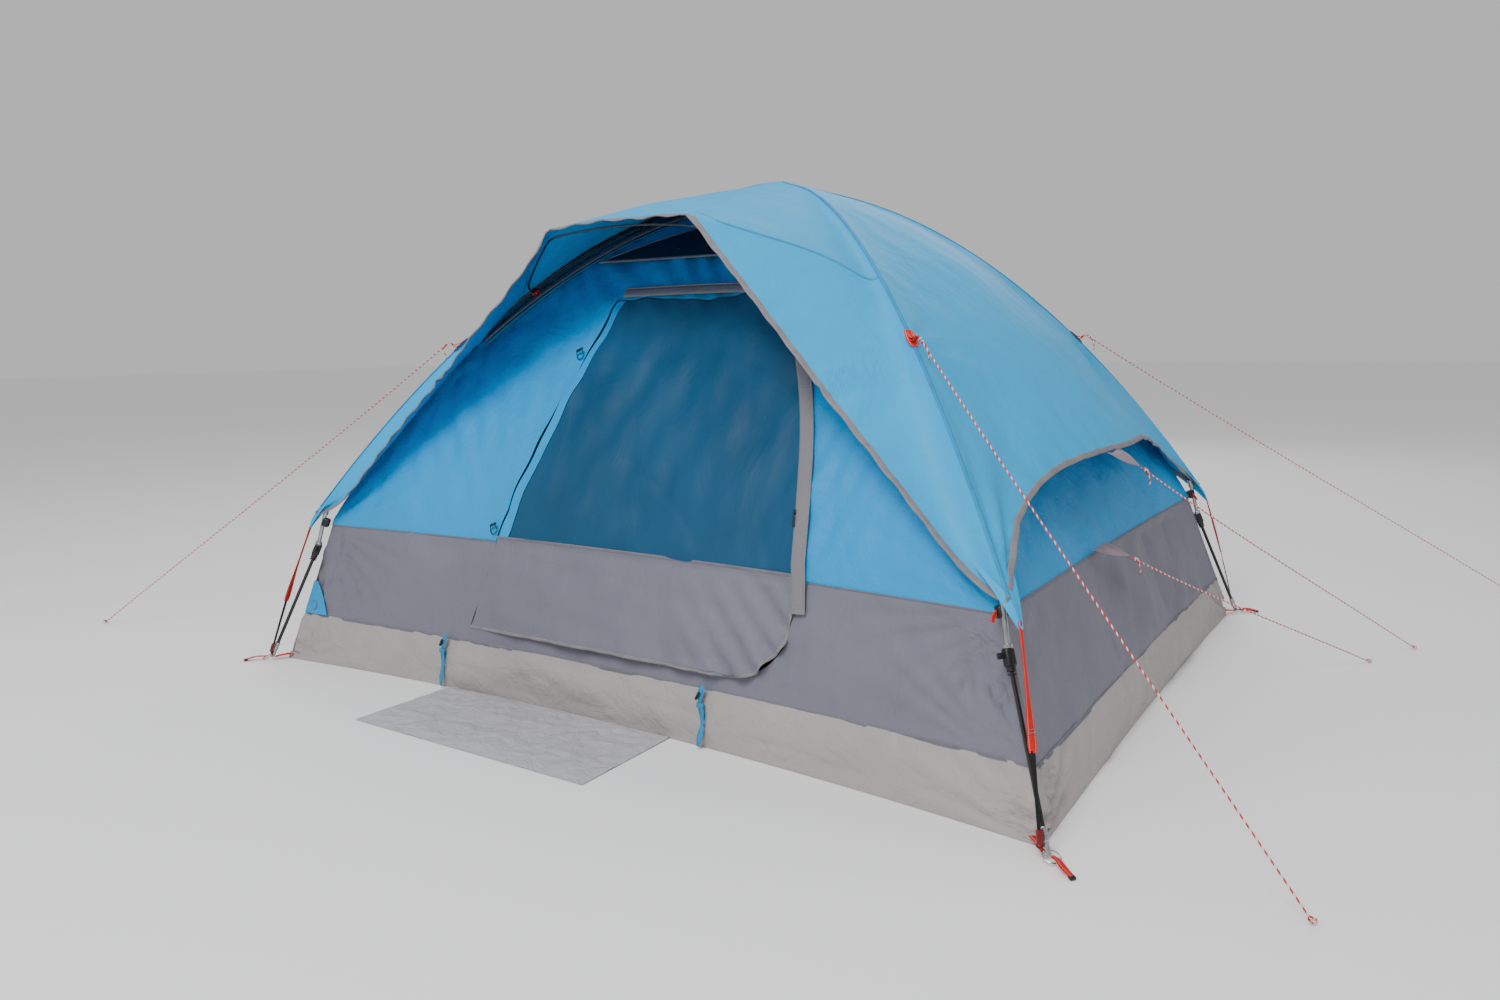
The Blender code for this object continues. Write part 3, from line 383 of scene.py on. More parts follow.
def rod_crossing(x, y):
    """Where the rod's line crosses the plan direction of a place on the front gore."""
    low, high = 0.0, 1.0
    wanted = abs(x) * -EAVE_Y / max(-y, 1e-6)
    for _ in range(24):
        middle = (low + high) / 2
        place = rod_line(middle)
        if place.x * EAVE_Y / place.y < wanted:
            low = middle
        else:
            high = middle
    return rod_line((low + high) / 2)


def front_bend(target):
    """How far down the front gore its crease over the rod lies."""
    if abs(target.x) <= EAVE_X * 1.001:
        return 1.0
    crossing = rod_crossing(target.x, target.y)
    return math.hypot(crossing.x, crossing.y) / math.hypot(target.x, target.y)


def front_profile(target, share, t, near, crossing):
    """Height of the front gore on its way down to a point of its edge."""
    ridge = ridge_z(t * CORNER_R)
    if near == 1.0:
        return APEX_Z - (APEX_Z - target.z) * t ** 1.35
    if t <= near:
        power = 1.35 + 0.5 * abs(share)
        height = APEX_Z - (APEX_Z - crossing.z) * (t / near) ** power
    else:
        height = crossing.z + (target.z - crossing.z) * (t - near) / (1 - near)
    weight = abs(share) ** 8
    return height * (1 - weight) + ridge * weight


def side_profile(target, share, t):
    """Height of the other gores on the way down to their lower edge."""
    power = RIDGE_POWER - 0.16 * (1 - abs(share) ** 1.5)
    return APEX_Z - (APEX_Z - target.z) * t ** power


def wall_corner(level):
    """Half sizes and height of the inner tent: below 0 on the grey wall, above 0 on the blue one."""
    if level <= 0:
        lift = 1 + level
        return (TUB_X + (SEAM_X - TUB_X) * lift, TUB_Y + (SEAM_Y - TUB_Y) * lift,
                TUB_Z + 0.0005 + (SEAM_Z - TUB_Z) * lift)
    station = WALL_START_R * (1 - level) + 0.014
    slope = ridge_slope(station)
    length = math.hypot(1, slope)
    r = max(station - WALL_INSET * slope / length, 0.012)
    z = ridge_z(station) - WALL_INSET / length - ROOF_DIP * math.exp(-r / 0.14)
    x, y = r * FOOT_X / FOOT_R, r * FOOT_Y / FOOT_R
    blend = max(0.0, 1 - level * 8)
    x += blend * (SEAM_X - x)
    y += blend * (SEAM_Y - y)
    return x, y, z + blend * (SEAM_Z - z)


def wall_sag(level, side="front"):
    """How far the middle of a wall hangs inwards."""
    share = 1.0
    if side in ("left", "right"):
        share = SIDE_SAG + (1 - SIDE_SAG) * min(max(level * 3, 0.0), 1.0)
    if level <= 0:
        return share * (0.045 + 0.020 * (1 + level))
    return share * 0.065 * (1 - level) ** 1.5


def level_of(z):
    """The wall level at a height."""
    low, high = -1.0, 1.0
    for _ in range(40):
        middle = (low + high) / 2
        if wall_corner(middle)[2] < z:
            low = middle
        else:
            high = middle
    return (low + high) / 2


def wall_point(side, place, level, grow=0.0):
    """A point on a wall: place is the distance along the wall from its middle."""
    half_x, half_y, z = wall_corner(level)
    along_x = side in ("front", "back")
    half, out = (half_x, half_y) if along_x else (half_y, half_x)
    depth = out - wall_sag(level, side) * (1 - min(abs(place) / half, 1.0) ** 2) + grow
    if side in ("front", "left"):
        depth = -depth
    return Vector((place, depth, z) if along_x else (depth, place, z))


def front_point(x, z, grow=0.0):
    """A point on the front wall, moved outwards by grow."""
    return wall_point("front", x, level_of(z), grow)


def arc(centre, radius, start, end, count):
    """Points on an arc, with its ends in degrees."""
    points = []
    for step in range(count + 1):
        angle = math.radians(start + (end - start) * step / count)
        points.append((centre[0] + radius * math.cos(angle), centre[1] + radius * math.sin(angle)))
    return points


def smoothed(path, rounds=2):
    """A polyline with its corners cut."""
    for _ in range(rounds):
        made = [path[0]]
        for a, b in zip(path, path[1:]):
            made.append(tuple(0.75 * p + 0.25 * q for p, q in zip(a, b)))
            made.append(tuple(0.25 * p + 0.75 * q for p, q in zip(a, b)))
        made.append(path[-1])
        path = made
    return path


def door_right_path():
    """The door's top right, right and bottom right edge, from the top down."""
    top = arc((0.190, DOOR_TOP - 0.230), 0.230, 90, 25, 8)
    side = arc((0.390, 0.330), DOOR_RIGHT - 0.390, 8, -90, 10)
    return smoothed([*top, (0.470, 0.780), (0.520, 0.600), *side], 1)


RIGHT_PATH = door_right_path()


def door_right(z):
    """The door's right edge at a height."""
    if z >= DOOR_TOP:
        return RIGHT_PATH[0][0]
    for a, b in zip(RIGHT_PATH, RIGHT_PATH[1:]):
        if b[1] <= z <= a[1]:
            share = (a[1] - z) / max(a[1] - b[1], 1e-9)
            return a[0] + (b[0] - a[0]) * share
    return RIGHT_PATH[-1][0]


def door_left(z):
    """The door's left edge at a height."""
    share = min(max((z - DOOR_BOTTOM) / (DOOR_TOP - DOOR_BOTTOM), 0.0), 1.0)
    return DOOR_LEFT_BOTTOM + (DOOR_LEFT_TOP - DOOR_LEFT_BOTTOM) * share


# ---------------------------------------------------------------- mesh helpers

def finish_piece(obj, material, body, nodes=(), slot=None, keep=None, anchor=0.0):
    """Gives a piece its material, body and replaced nodes, and, if a keep is given, a mesh of its own."""
    obj.data.materials.clear()
    obj.data.materials.append(material)
    if body:
        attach(obj, body)
    if nodes:
        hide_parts(*nodes)
    if keep is not None:
        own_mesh(obj)
    return obj


def piece(name, mesh, *looks, **more):
    """Links a mesh as a new piece. The looks are what finish_piece takes after the object."""
    return finish_piece(link(name, mesh), *looks, **more)


def link(name, mesh):
    """A new object in the scene."""
    obj = bpy.data.objects.new(name, mesh)
    bpy.context.scene.collection.objects.link(obj)
    return obj


def vectors(points):
    """The points as vectors."""
    return [Vector(point) for point in points]


def random_waves(points, seed, count, wavelength, squeeze=(1, 1, 1)):
    """Smooth pseudo-random field from -1 to 1, as a sum of plane waves."""
    source = np.random.default_rng(seed)
    total = np.zeros(points.shape[:-1])
    for _ in range(count):
        direction = source.normal(size=3) * np.array(squeeze)
        direction /= np.linalg.norm(direction) + 1e-9
        length = wavelength * source.uniform(0.6, 1.6)
        total += np.sin(points @ direction * 2 * math.pi / length + source.uniform(0, 6.28))
    return total / math.sqrt(count)


def ridged(field, sharp=1.0):
    """Turns a smooth field into narrow creases, from 0 to 1."""
    return np.clip(1 - np.abs(field) * sharp, 0, 1) ** 2


def normals_of(grid):
    """Unit normals over a grid of points."""
    across = np.gradient(grid, axis=1)
    down = np.gradient(grid, axis=0)
    normal = np.cross(across, down)
    size = np.linalg.norm(normal, axis=-1, keepdims=True)
    return normal / np.maximum(size, 1e-12)


def outward_normals(grid, centre=(0, 0, 0.2)):
    """Unit normals over a grid that point away from the centre."""
    normal = normals_of(grid)
    middle = grid - np.array(centre)
    if np.sum(normal * middle) < 0:
        normal = -normal
    return normal


def fan(a, b, centre, reach, waves, phase=0.0, start=0.01):
    """Wrinkles that spread out of a point. a and b are distances on the cloth."""
    da, db = a - centre[0], b - centre[1]
    distance = np.hypot(da, db)
    angle = np.arctan2(db, da)
    fade = np.exp(-(distance / reach) ** 1.5) * (1 - np.exp(-(distance / start) ** 2))
    waving = np.sin(angle * waves + phase + 0.8 * np.sin(angle * waves * 0.37 + 1.7))
    return waving * fade * np.minimum(distance / reach * 2.2, 1)


def lengths(grid):
    """Distance along each row from its middle column, and down each column from the first row."""
    step = np.linalg.norm(np.diff(grid, axis=1), axis=-1)
    a = np.concatenate([np.zeros((grid.shape[0], 1)), np.cumsum(step, axis=1)], axis=1)
    a -= a[:, a.shape[1] // 2][:, None]
    drop = np.linalg.norm(np.diff(grid, axis=0), axis=-1)
    b = np.concatenate([np.zeros((1, grid.shape[1])), np.cumsum(drop, axis=0)], axis=0)
    return a, b


def thickened(mesh, thickness):
    """A closed smooth mesh made of a surface that thickens towards its inner side."""
    item = link("temporary", mesh)
    solid = item.modifiers.new("thickness", "SOLIDIFY")
    solid.thickness = thickness
    solid.offset = -1.0
    bpy.context.view_layer.update()
    made = bpy.data.meshes.new_from_object(item.evaluated_get(bpy.context.evaluated_depsgraph_get()))
    bpy.data.objects.remove(item, do_unlink=True)
    made.shade_smooth()
    return made


def grid_mesh(grid, thickness=THIN_CLOTH, keep_face=None, centre=(0, 0, 0.2)):
    """A closed thin mesh over a grid of points, with UVs in metres."""
    rows, columns = grid.shape[:2]
    a, b = lengths(grid)
    normal = outward_normals(grid, centre)
    flip = np.sum(normals_of(grid) * normal) < 0
    index = np.arange(rows * columns).reshape(rows, columns)
    faces = []
    for r in range(rows - 1):
        for c in range(columns - 1):
            if keep_face is not None and not keep_face(r, c):
                continue
            face = (index[r, c], index[r, c + 1], index[r + 1, c + 1], index[r + 1, c])
            faces.append(face if flip else face[::-1])
    mesh = bpy.data.meshes.new("cloth")
    mesh.from_pydata([tuple(p) for p in grid.reshape(-1, 3)], [], [tuple(int(i) for i in f) for f in faces])
    layer = mesh.uv_layers.new(name="UVMap")
    which = np.zeros(len(mesh.loops), dtype=np.int32)
    mesh.loops.foreach_get("vertex_index", which)
    places = np.stack([a.reshape(-1)[which], b.reshape(-1)[which]], axis=1)
    layer.data.foreach_set("uv", places.astype(np.float32).reshape(-1))
    shape = bmesh.new()
    shape.from_mesh(mesh)
    loose = [v for v in shape.verts if not v.link_faces]
    bmesh.ops.delete(shape, geom=loose, context="VERTS")
    shape.to_mesh(mesh)
    shape.free()
    made = thickened(mesh, thickness)
    made.set_sharp_from_angle(angle=math.radians(60))
    return made


def area_of(mesh):
    """The area of one side of a thin closed mesh."""
    return sum(p.area for p in mesh.polygons) / 2


def cloth_sheet(obj, grid):
    """Works out a piece's flat size as cloth: its longest row by its longest column. Nothing is kept or given
    back.

    A front gore's lower edge curves far in between its corners, so there the width is the straight
    distance between the corners, and the length is the height that the ridges' length leaves.
    """
    width = float(np.max(np.sum(np.linalg.norm(np.diff(grid, axis=1), axis=-1), axis=1)))
    length = float(np.max(np.sum(np.linalg.norm(np.diff(grid, axis=0), axis=-1), axis=0)))
    area = min(area_of(obj.data), width * length)
    if area < CURVED_GORE_SHARE * width * length:
        width = float(np.max(np.linalg.norm(grid[:, -1] - grid[:, 0], axis=-1)))
        length = math.sqrt(length ** 2 - (width / 2) ** 2)


def taken(shape, name, sharp=None):
    """The mesh of a bmesh, shaded smooth but for edges above the angle in degrees."""
    mesh = bpy.data.meshes.new(name)
    shape.to_mesh(mesh)
    shape.free()
    mesh.shade_smooth()
    if sharp is not None:
        mesh.set_sharp_from_angle(angle=math.radians(sharp))
    return mesh


def tangent_at(points, index):
    """The direction of a line of points at one of them."""
    return (points[min(index + 1, len(points) - 1)] - points[max(index - 1, 0)]).normalized()


def run_of(points):
    """How far along the line each point is."""
    along = [0.0]
    for before, point in zip(points, points[1:]):
        along.append(along[-1] + (point - before).length)
    return along


def skin(shape, rings, along, across_of):
    """Covers rings of vertices and both ends. UV x is metres along, UV y is across_of a step round."""
    layer = shape.loops.layers.uv.new("UVMap")
    sides = len(rings[0])
    for i in range(len(rings) - 1):
        for s in range(sides):
            t = (s + 1) % sides
            face = shape.faces.new((rings[i][s], rings[i][t], rings[i + 1][t], rings[i + 1][s]))
            corners = ((i, s), (i, s + 1), (i + 1, s + 1), (i + 1, s))
            for loop, (row, column) in zip(face.loops, corners):
                loop[layer].uv = (along[row], across_of(column))
    shape.faces.new(rings[0][::-1])
    shape.faces.new(rings[-1])
    bmesh.ops.recalc_face_normals(shape, faces=shape.faces)


def sweep(points, ups, widths, thicks, sides=10, flat=0.55):
    """A band along a line. Each point has its own up, width and thickness, or all share one."""
    points = [Vector(p) for p in points]
    count = len(points)
    widths = widths if hasattr(widths, "__len__") else [widths] * count
    thicks = thicks if hasattr(thicks, "__len__") else [thicks] * count
    shape = bmesh.new()
    rings = []
    for i in range(count):
        tangent = tangent_at(points, i)
        up = Vector(ups[i] if hasattr(ups, "__len__") and not isinstance(ups, Vector) else ups)
        up = (up - tangent * up.dot(tangent)).normalized()
        side = tangent.cross(up)
        ring = []
        for s in range(sides):
            angle = 2 * math.pi * s / sides
            ca, sa = math.cos(angle), math.sin(angle)
            x = math.copysign(abs(ca) ** flat, ca) * widths[i] / 2
            y = math.copysign(abs(sa) ** flat, sa) * thicks[i] / 2
            ring.append(shape.verts.new(points[i] + side * x + up * y))
        rings.append(ring)
    skin(shape, rings, run_of(points), lambda s: 0.5 + 0.5 * math.cos(2 * math.pi * s / sides))
    return taken(shape, "band", 70)


def round_tube(points, radius, sides=8):
    """A round tube along a line. The radius is one for all points or one for each."""
    points = [Vector(p) for p in points]
    shape = bmesh.new()
    rings = []
    up = Vector((0.13, 0.31, 0.94))
    for i, point in enumerate(points):
        tangent = tangent_at(points, i)
        up = (up - tangent * up.dot(tangent)).normalized()
        side = tangent.cross(up)
        size = radius[i] if hasattr(radius, "__len__") else radius
        ring = []
        for s in range(sides):
            angle = 2 * math.pi * s / sides
            ring.append(shape.verts.new(point + (side * math.cos(angle) + up * math.sin(angle)) * size))
        rings.append(ring)
    skin(shape, rings, run_of(points), lambda s: s / sides)
    return taken(shape, "tube", 60)


def rounded_box(size, radius=0.25, segments=3):
    """A box with rounded edges, about its own middle."""
    shape = bmesh.new()
    bmesh.ops.create_cube(shape, size=1.0)
    bmesh.ops.scale(shape, vec=Vector(size), verts=shape.verts)
    bmesh.ops.bevel(shape, geom=shape.edges[:], offset=min(size) * radius, segments=segments,
                    profile=0.6, affect="EDGES")
    return taken(shape, "box", 50)


def ball(radius, centre):
    """A smooth ball."""
    shape = bmesh.new()
    bmesh.ops.create_icosphere(shape, subdivisions=3, radius=radius)
    bmesh.ops.translate(shape, vec=Vector(centre), verts=shape.verts)
    return taken(shape, "ball")


def placed(mesh, centre, third, first):
    """A mesh moved so that its z axis lies along third and its x axis near first."""
    third = Vector(third).normalized()
    first = Vector(first)
    first = (first - third * first.dot(third)).normalized()
    turn = Matrix((first, third.cross(first), third)).transposed().to_4x4()
    mesh.transform(Matrix.Translation(centre) @ turn)
    return mesh


def joined(meshes):
    """One mesh from several, keeping their UVs."""
    shape = bmesh.new()
    shape.loops.layers.uv.new("UVMap")
    for mesh in meshes:
        shape.from_mesh(mesh)
    return taken(shape, "joined", 55)


# ---------------------------------------------------------------- fly

def gore_grid(edge, across, down, side):
    """Points over a gore, from the apex to its lower edge, and each column's share."""
    grid = np.zeros((down + 1, across + 1, 3))
    shares = np.linspace(-1, 1, across + 1)
    for column, share in enumerate(shares):
        target = edge(share)
        near, crossing = 1.0, None
        if side == "front":
            near = front_bend(target)
            crossing = rod_crossing(target.x, target.y) if near < 1.0 else None
        for row in range(down + 1):
            t = 0.004 + 0.996 * row / down
            if side == "front":
                bent = min(near, 0.94)
                knee = int(down * KNEE_SHARE)
                t = 0.004 + (bent - 0.004) * row / knee
                if row > knee:
                    t = bent + (1 - bent) * (row - knee) / (down - knee)
                z = front_profile(target, share, t, near, crossing)
            else:
                z = side_profile(target, share, t)
            x, y = target.x * t, target.y * t
            z += HUB_BUMP * math.exp(-(math.hypot(x, y) / 0.09) ** 2)
            grid[row, column] = (x, y, z)
    return grid, shares


def fly_wrinkles(grid, shares, seed):
    """Soft folds: pull lines from the corners, slack between them, and seams' puckers along the ridges."""
    a, b = lengths(grid)
    normal = outward_normals(grid)
    size = np.abs(shares)[None, :]
    t = np.linspace(0, 1, grid.shape[0])[:, None]
    lift = 0.0036 * random_waves(grid, seed, 9, 0.40) * (1 - size ** 6) * np.minimum(t * 2.5, 1)
    lift += 0.0016 * random_waves(grid, seed + 1, 12, 0.13) * (1 - size ** 10) * t
    for sign in (-1, 1):
        column = -1 if sign > 0 else 0
        tip = (a[-1, column], b[-1, column])
        lift += 0.0100 * fan(a, b, tip, 0.40, 24, phase=sign * 0.6 + seed)
        guy = int(np.argmin(np.abs(np.hypot(grid[:, column, 0], grid[:, column, 1]) - TAB_R)))
        tab = (a[guy, column], b[guy, column])
        lift += 0.0030 * fan(a, b, tab, 0.20, 13, phase=1.3 + seed)
    pucker = np.sin(b * 2 * math.pi / 0.055 + 2.0 * np.sin(b * 9 + seed)) * np.exp(-(1 - size) * 14)
    lift += 0.0010 * pucker * t
    hem = np.sin(a * 2 * math.pi / 0.085 + 1.6 * np.sin(a * 5 + seed)) * np.exp(-(1 - t) * 16)
    lift += 0.0018 * hem * (1 - size ** 8)
    lift *= (1 - np.exp(-(1 - size) * 60))
    return grid + normal * lift[..., None]


def make_gores():
    """The fly's four gores, each with a binding along its lower edge. Gives back their grids."""
    sizes = {"front": (150, 100), "right": (120, 90), "back": (100, 80), "left": (100, 80)}
    grids = {}
    for number, (side, (across, down)) in enumerate(sizes.items()):
        edge = front_edge if side == "front" else side_edge(side)
        grid, shares = gore_grid(edge, int(across * FINE), int(down * FINE), side)
        grid = fly_wrinkles(grid, shares, 11 + number * 7)
        grids[side] = grid
        obj = piece("fly_cloth_" + side, grid_mesh(grid, FLY_CLOTH), M_FLY, "fabric", ["fly_" + side], "fly",
                    FLY_KEEP, FLY_ANCHOR)
        cloth_sheet(obj, grid)
        ups = vectors(outward_normals(grid)[-1])
        inward = [(q - p).normalized() for p, q in zip(vectors(grid[-1]), vectors(grid[-4]))]
        points = [p + i * 0.004 for p, i in zip(vectors(grid[-1]), inward)]
        piece("fly_binding_" + side, sweep(points, ups, 0.0150, 0.0042, 10), M_TRIM, "fabric", slot="trim",
              keep=FLY_KEEP, anchor=FLY_ANCHOR)
    return grids


def make_ridge_seam(corner):
    """The seam over one pole."""
    out, _ = diagonal(corner)
    points, ups = [], []
    for step in range(60):
        r = 0.05 + (CORNER_R - 0.052) * step / 59
        z = ridge_z(r) + HUB_BUMP * math.exp(-(r / 0.09) ** 2)
        up = (Vector((0, 0, 1)) + out * ridge_slope(r)).normalized()
        points.append(at(corner, r, z) + up * 0.0006)
        ups.append(up)
    piece("ridge_seam_" + corner, sweep(points, ups, 0.0095, 0.0030, 8), M_FLY_SEAM, "fabric", slot="fly",
          keep=FLY_KEEP, anchor=FLY_ANCHOR)


def make_brow_seam(grid, sign):
    """The seam over one half of the eave rod, along the front gore's crease."""
    knee = int((grid.shape[0] - 1) * KNEE_SHARE)
    start = 0.5 + sign * EAVE_SHARE / 2
    columns = np.linspace(start, 1.0 if sign > 0 else 0.0, 60) * (grid.shape[1] - 1)
    points, ups = [], []
    normal = outward_normals(grid)
    for column in columns:
        low = int(min(column, grid.shape[1] - 2))
        part = column - low
        up = Vector(normal[knee, low])
        points.append(Vector(grid[knee, low] * (1 - part) + grid[knee, low + 1] * part) + up * 0.0004)
        ups.append(up)
    piece("brow_seam_" + ("right" if sign > 0 else "left"), sweep(points, ups, 0.0080, 0.0022, 8), M_FLY_SEAM,
          "fabric", slot="fly", keep=FLY_KEEP, anchor=FLY_ANCHOR)


def make_fly():
    """The outer tent: gores, ridge seams and the seams over the rod."""
    grids = make_gores()
    for corner in CORNERS:
        make_ridge_seam(corner)
    for sign in (-1, 1):
        make_brow_seam(grids["front"], sign)


# ---------------------------------------------------------------- inner walls

def wall_grid(side, levels, columns):
    """Points over one wall at the given levels."""
    grid = np.zeros((len(levels), columns + 1, 3))
    for row, level in enumerate(levels):
        half_x, half_y, _ = wall_corner(level)
        half = half_x if side in ("front", "back") else half_y
        for column in range(columns + 1):
            grid[row, column] = wall_point(side, half * (-1 + 2 * column / columns), level)
    return grid


def wall_wrinkles(grid, seed, amount=1.0):
    """Soft folds and sharper creases of a wall, held at its edges."""
    normal = outward_normals(grid)
    size = np.abs(np.linspace(-1, 1, grid.shape[1]))[None, :]
    t = np.linspace(0, 1, grid.shape[0])[:, None]
    hold = (1 - size ** 10) * np.clip(t * 9, 0, 1) * np.clip((1 - t) * 9, 0, 1)
    lift = 0.0060 * random_waves(grid, seed, 8, 0.30, (1, 1, 0.30)) * hold
    lift += 0.0032 * random_waves(grid, seed + 1, 12, 0.09, (1, 1, 0.25)) * hold
    lift -= 0.0042 * ridged(random_waves(grid, seed + 2, 6, 0.50, (1, 1, 0.5)), 3.5) * hold
    return grid + normal * (lift * amount)[..., None]


def front_columns(level):
    """Column places of the front wall at a level, with the door's edges on fixed columns."""
    half_x, _, z = wall_corner(level)
    if z > DOOR_TOP:
        top_half = wall_corner(level_of(DOOR_TOP))[0]
        left = DOOR_LEFT_TOP * half_x / top_half
        right = RIGHT_PATH[0][0] * half_x / top_half
    else:
        left, right = door_left(z), door_right(z)
    return np.concatenate([
        np.linspace(-half_x, left, FRONT_A + 1), np.linspace(left, right, FRONT_B + 1)[1:],
        np.linspace(right, half_x, FRONT_C + 1)[1:]])


def front_grid(levels):
    """Points over the front wall at the given levels."""
    grid = np.zeros((len(levels), FRONT_A + FRONT_B + FRONT_C + 1, 3))
    for row, level in enumerate(levels):
        for column, x in enumerate(front_columns(level)):
            grid[row, column] = wall_point("front", x, level)
    return grid


def front_lift(grid, seed):
    """The front wall's own folds, as a field over place, so that the wall and the door agree."""
    x, z = grid[..., 0], grid[..., 2]
    edge = np.clip((z - 0.134) * 18, 0, 1) * np.clip((1.33 - z) * 10, 0, 1)
    lift = 0.0050 * random_waves(grid, seed, 8, 0.30, (1, 1, 0.4))
    lift += 0.0026 * random_waves(grid, seed + 1, 12, 0.10, (1, 1, 0.5))
    above = np.exp(-((z - 1.13) / 0.09) ** 2)
    lift += 0.0055 * above * np.sin((x * 0.62 + z * 0.80) * 2 * math.pi / 0.060 + 2 * np.sin(x * 14))
    for corner_x in (-1.05, 1.05):
        for corner_z, waves, height in ((0.40, 26, 0.0060), (0.13, 22, 0.0055)):
            away = np.abs(x - corner_x)
            lift += height * fan(away, z - corner_z, (0.0, 0.0), 0.26, waves, corner_x + corner_z)
    crease = ridged(random_waves(grid, seed + 2, 7, 0.34, (1, 1, 0.6)), 3.2)
    lift -= 0.0038 * crease
    side = np.exp(-((x - 0.62) / 0.16) ** 2) * np.exp(-((z - 0.60) / 0.22) ** 2)
    lift += 0.0040 * side * np.sin((x * 0.9 - z * 0.35) * 2 * math.pi / 0.055)
    left = np.exp(-((x + 0.62) / 0.18) ** 2) * np.exp(-((z - 0.70) / 0.25) ** 2)
    lift += 0.0045 * left * np.sin((x * 0.85 + z * 0.45) * 2 * math.pi / 0.075 + np.sin(z * 11))
    return lift * edge * (1 - 0.92 * np.exp(-((z - SEAM_Z) / 0.022) ** 2))


def make_plain_walls():
    """The right, back and left walls, each a grey and a blue sheet."""
    low = list(np.linspace(-1, 0, int(34 * FINE)))
    high = np.concatenate([np.linspace(0, 0.92, int(90 * FINE)), np.linspace(0.92, 1.0, 8)[1:]])
    for number, side in enumerate(("right", "back", "left")):
        across = int(110 * FINE)
        grid = wall_wrinkles(wall_grid(side, low, across), 41 + number, 1.2)
        obj = piece("inner_grey_" + side, grid_mesh(grid), M_GREY, "fabric", ["wall_" + side], "wall", WALL_KEEP)
        cloth_sheet(obj, grid)
        grid = wall_wrinkles(wall_grid(side, high, across), 51 + number)
        obj = piece("inner_blue_" + side, grid_mesh(grid), M_WALL, "fabric", ["wall_" + side], "wall", WALL_KEEP)
        cloth_sheet(obj, grid)


def make_front_wall():
    """The front wall. Its rows meet the door's top and bottom, and its columns the door's sides."""
    bottom, top = level_of(DOOR_BOTTOM), level_of(DOOR_TOP)
    below, beside = int(8 * FINE) + 2, int(64 * FINE)
    grey = np.concatenate([np.linspace(-1, bottom, below), np.linspace(bottom, 0, int(30 * FINE))[1:]])
    blue = np.concatenate([np.linspace(0, top, beside), np.linspace(top, 0.93, int(30 * FINE))[1:],
                           np.linspace(0.93, 1.0, 8)[1:]])
    for name, levels, material, hole_rows in (("inner_grey_front", grey, M_GREY, (below - 1, len(grey))),
                                              ("inner_blue_front", blue, M_WALL, (-1, beside - 1))):
        grid = front_grid(levels)
        grid = grid + outward_normals(grid) * front_lift(grid, 61)[..., None]

        def kept(r, c):
            return not (hole_rows[0] <= r < hole_rows[1] and FRONT_A <= c < FRONT_A + FRONT_B)

        obj = piece(name, grid_mesh(grid, keep_face=kept), material, "fabric", ["wall_front"], "wall", WALL_KEEP)
        cloth_sheet(obj, grid)


def make_wall_seams(side):
    """Tapes along a wall's lower edge and where its grey and blue cloth meet, but not over the door. Their grey,
    darker than the wall's, is painted shade for the thin shadow line along each seam.
    """
    up = {"front": (0, -1, 0.3), "back": (0, 1, 0.3), "right": (1, 0, 0.3), "left": (-1, 0, 0.3)}[side]
    for name, level, width in (("wall_seam_", 0.0, 0.007), ("floor_seam_", -1.0, 0.010)):
        half_x, half_y, _ = wall_corner(level)
        half = half_x if side in ("front", "back") else half_y
        runs = [(-1.0, 1.0)]
        if side == "front" and level == 0.0:
            runs = [(-1.0, (door_left(SEAM_Z) - 0.002) / half), ((door_right(SEAM_Z) + 0.004) / half, 1.0)]
        for part, (begin, end) in enumerate(runs):
            shares = [begin + (end - begin) * i / 70 for i in range(71)]
            points = [wall_point(side, half * share, level, 0.0014) for share in shares]
            label = name + side + (str(part) if len(runs) > 1 else "")
            piece(label, sweep(points, Vector(up), width, 0.0016, 8), M_SEAM_AND_SHADE, "fabric", slot="trim",
                  keep=WALL_KEEP)


def make_walls():
    """The inner tent's walls and their seams."""
    make_plain_walls()
    make_front_wall()
    for side in ("front", "right", "back", "left"):
        make_wall_seams(side)


def door_lift(grid):
    """The door's folds: the wall's own, and slack of the netting."""
    x, z = grid[..., 0], grid[..., 2]
    lift = front_lift(grid, 61)
    slack = np.sin(np.clip((z - 0.40) / 0.65, 0, 1) * math.pi)
    lift += 0.004 * slack * np.sin((x * 0.35 + z * 0.9) * 2 * math.pi / 0.31 + 1.0)
    lift += 0.003 * slack * np.sin((x * 0.9 - z * 0.5) * 2 * math.pi / 0.14)
    return lift


def door_grid(z_low, z_high, left, right, grow, rows, lift):
    """A grid on the front wall between two heights and between two edges given as functions of height."""
    columns = int(70 * FINE)
    grid = np.zeros((rows + 1, columns + 1, 3))
    for row in range(rows + 1):
        z = z_low + (z_high - z_low) * row / rows
        level = level_of(z)
        for column in range(columns + 1):
            x = left(z) + (right(z) - left(z)) * (column / columns)
            grid[row, column] = wall_point("front", x, level, grow)
    return grid + outward_normals(grid) * lift(grid)[..., None]


def margin_right(z):
    """Where the blue margin on the door's left meets the netting."""
    return door_left(z) + 0.030 + 0.018 * (1.05 - z)


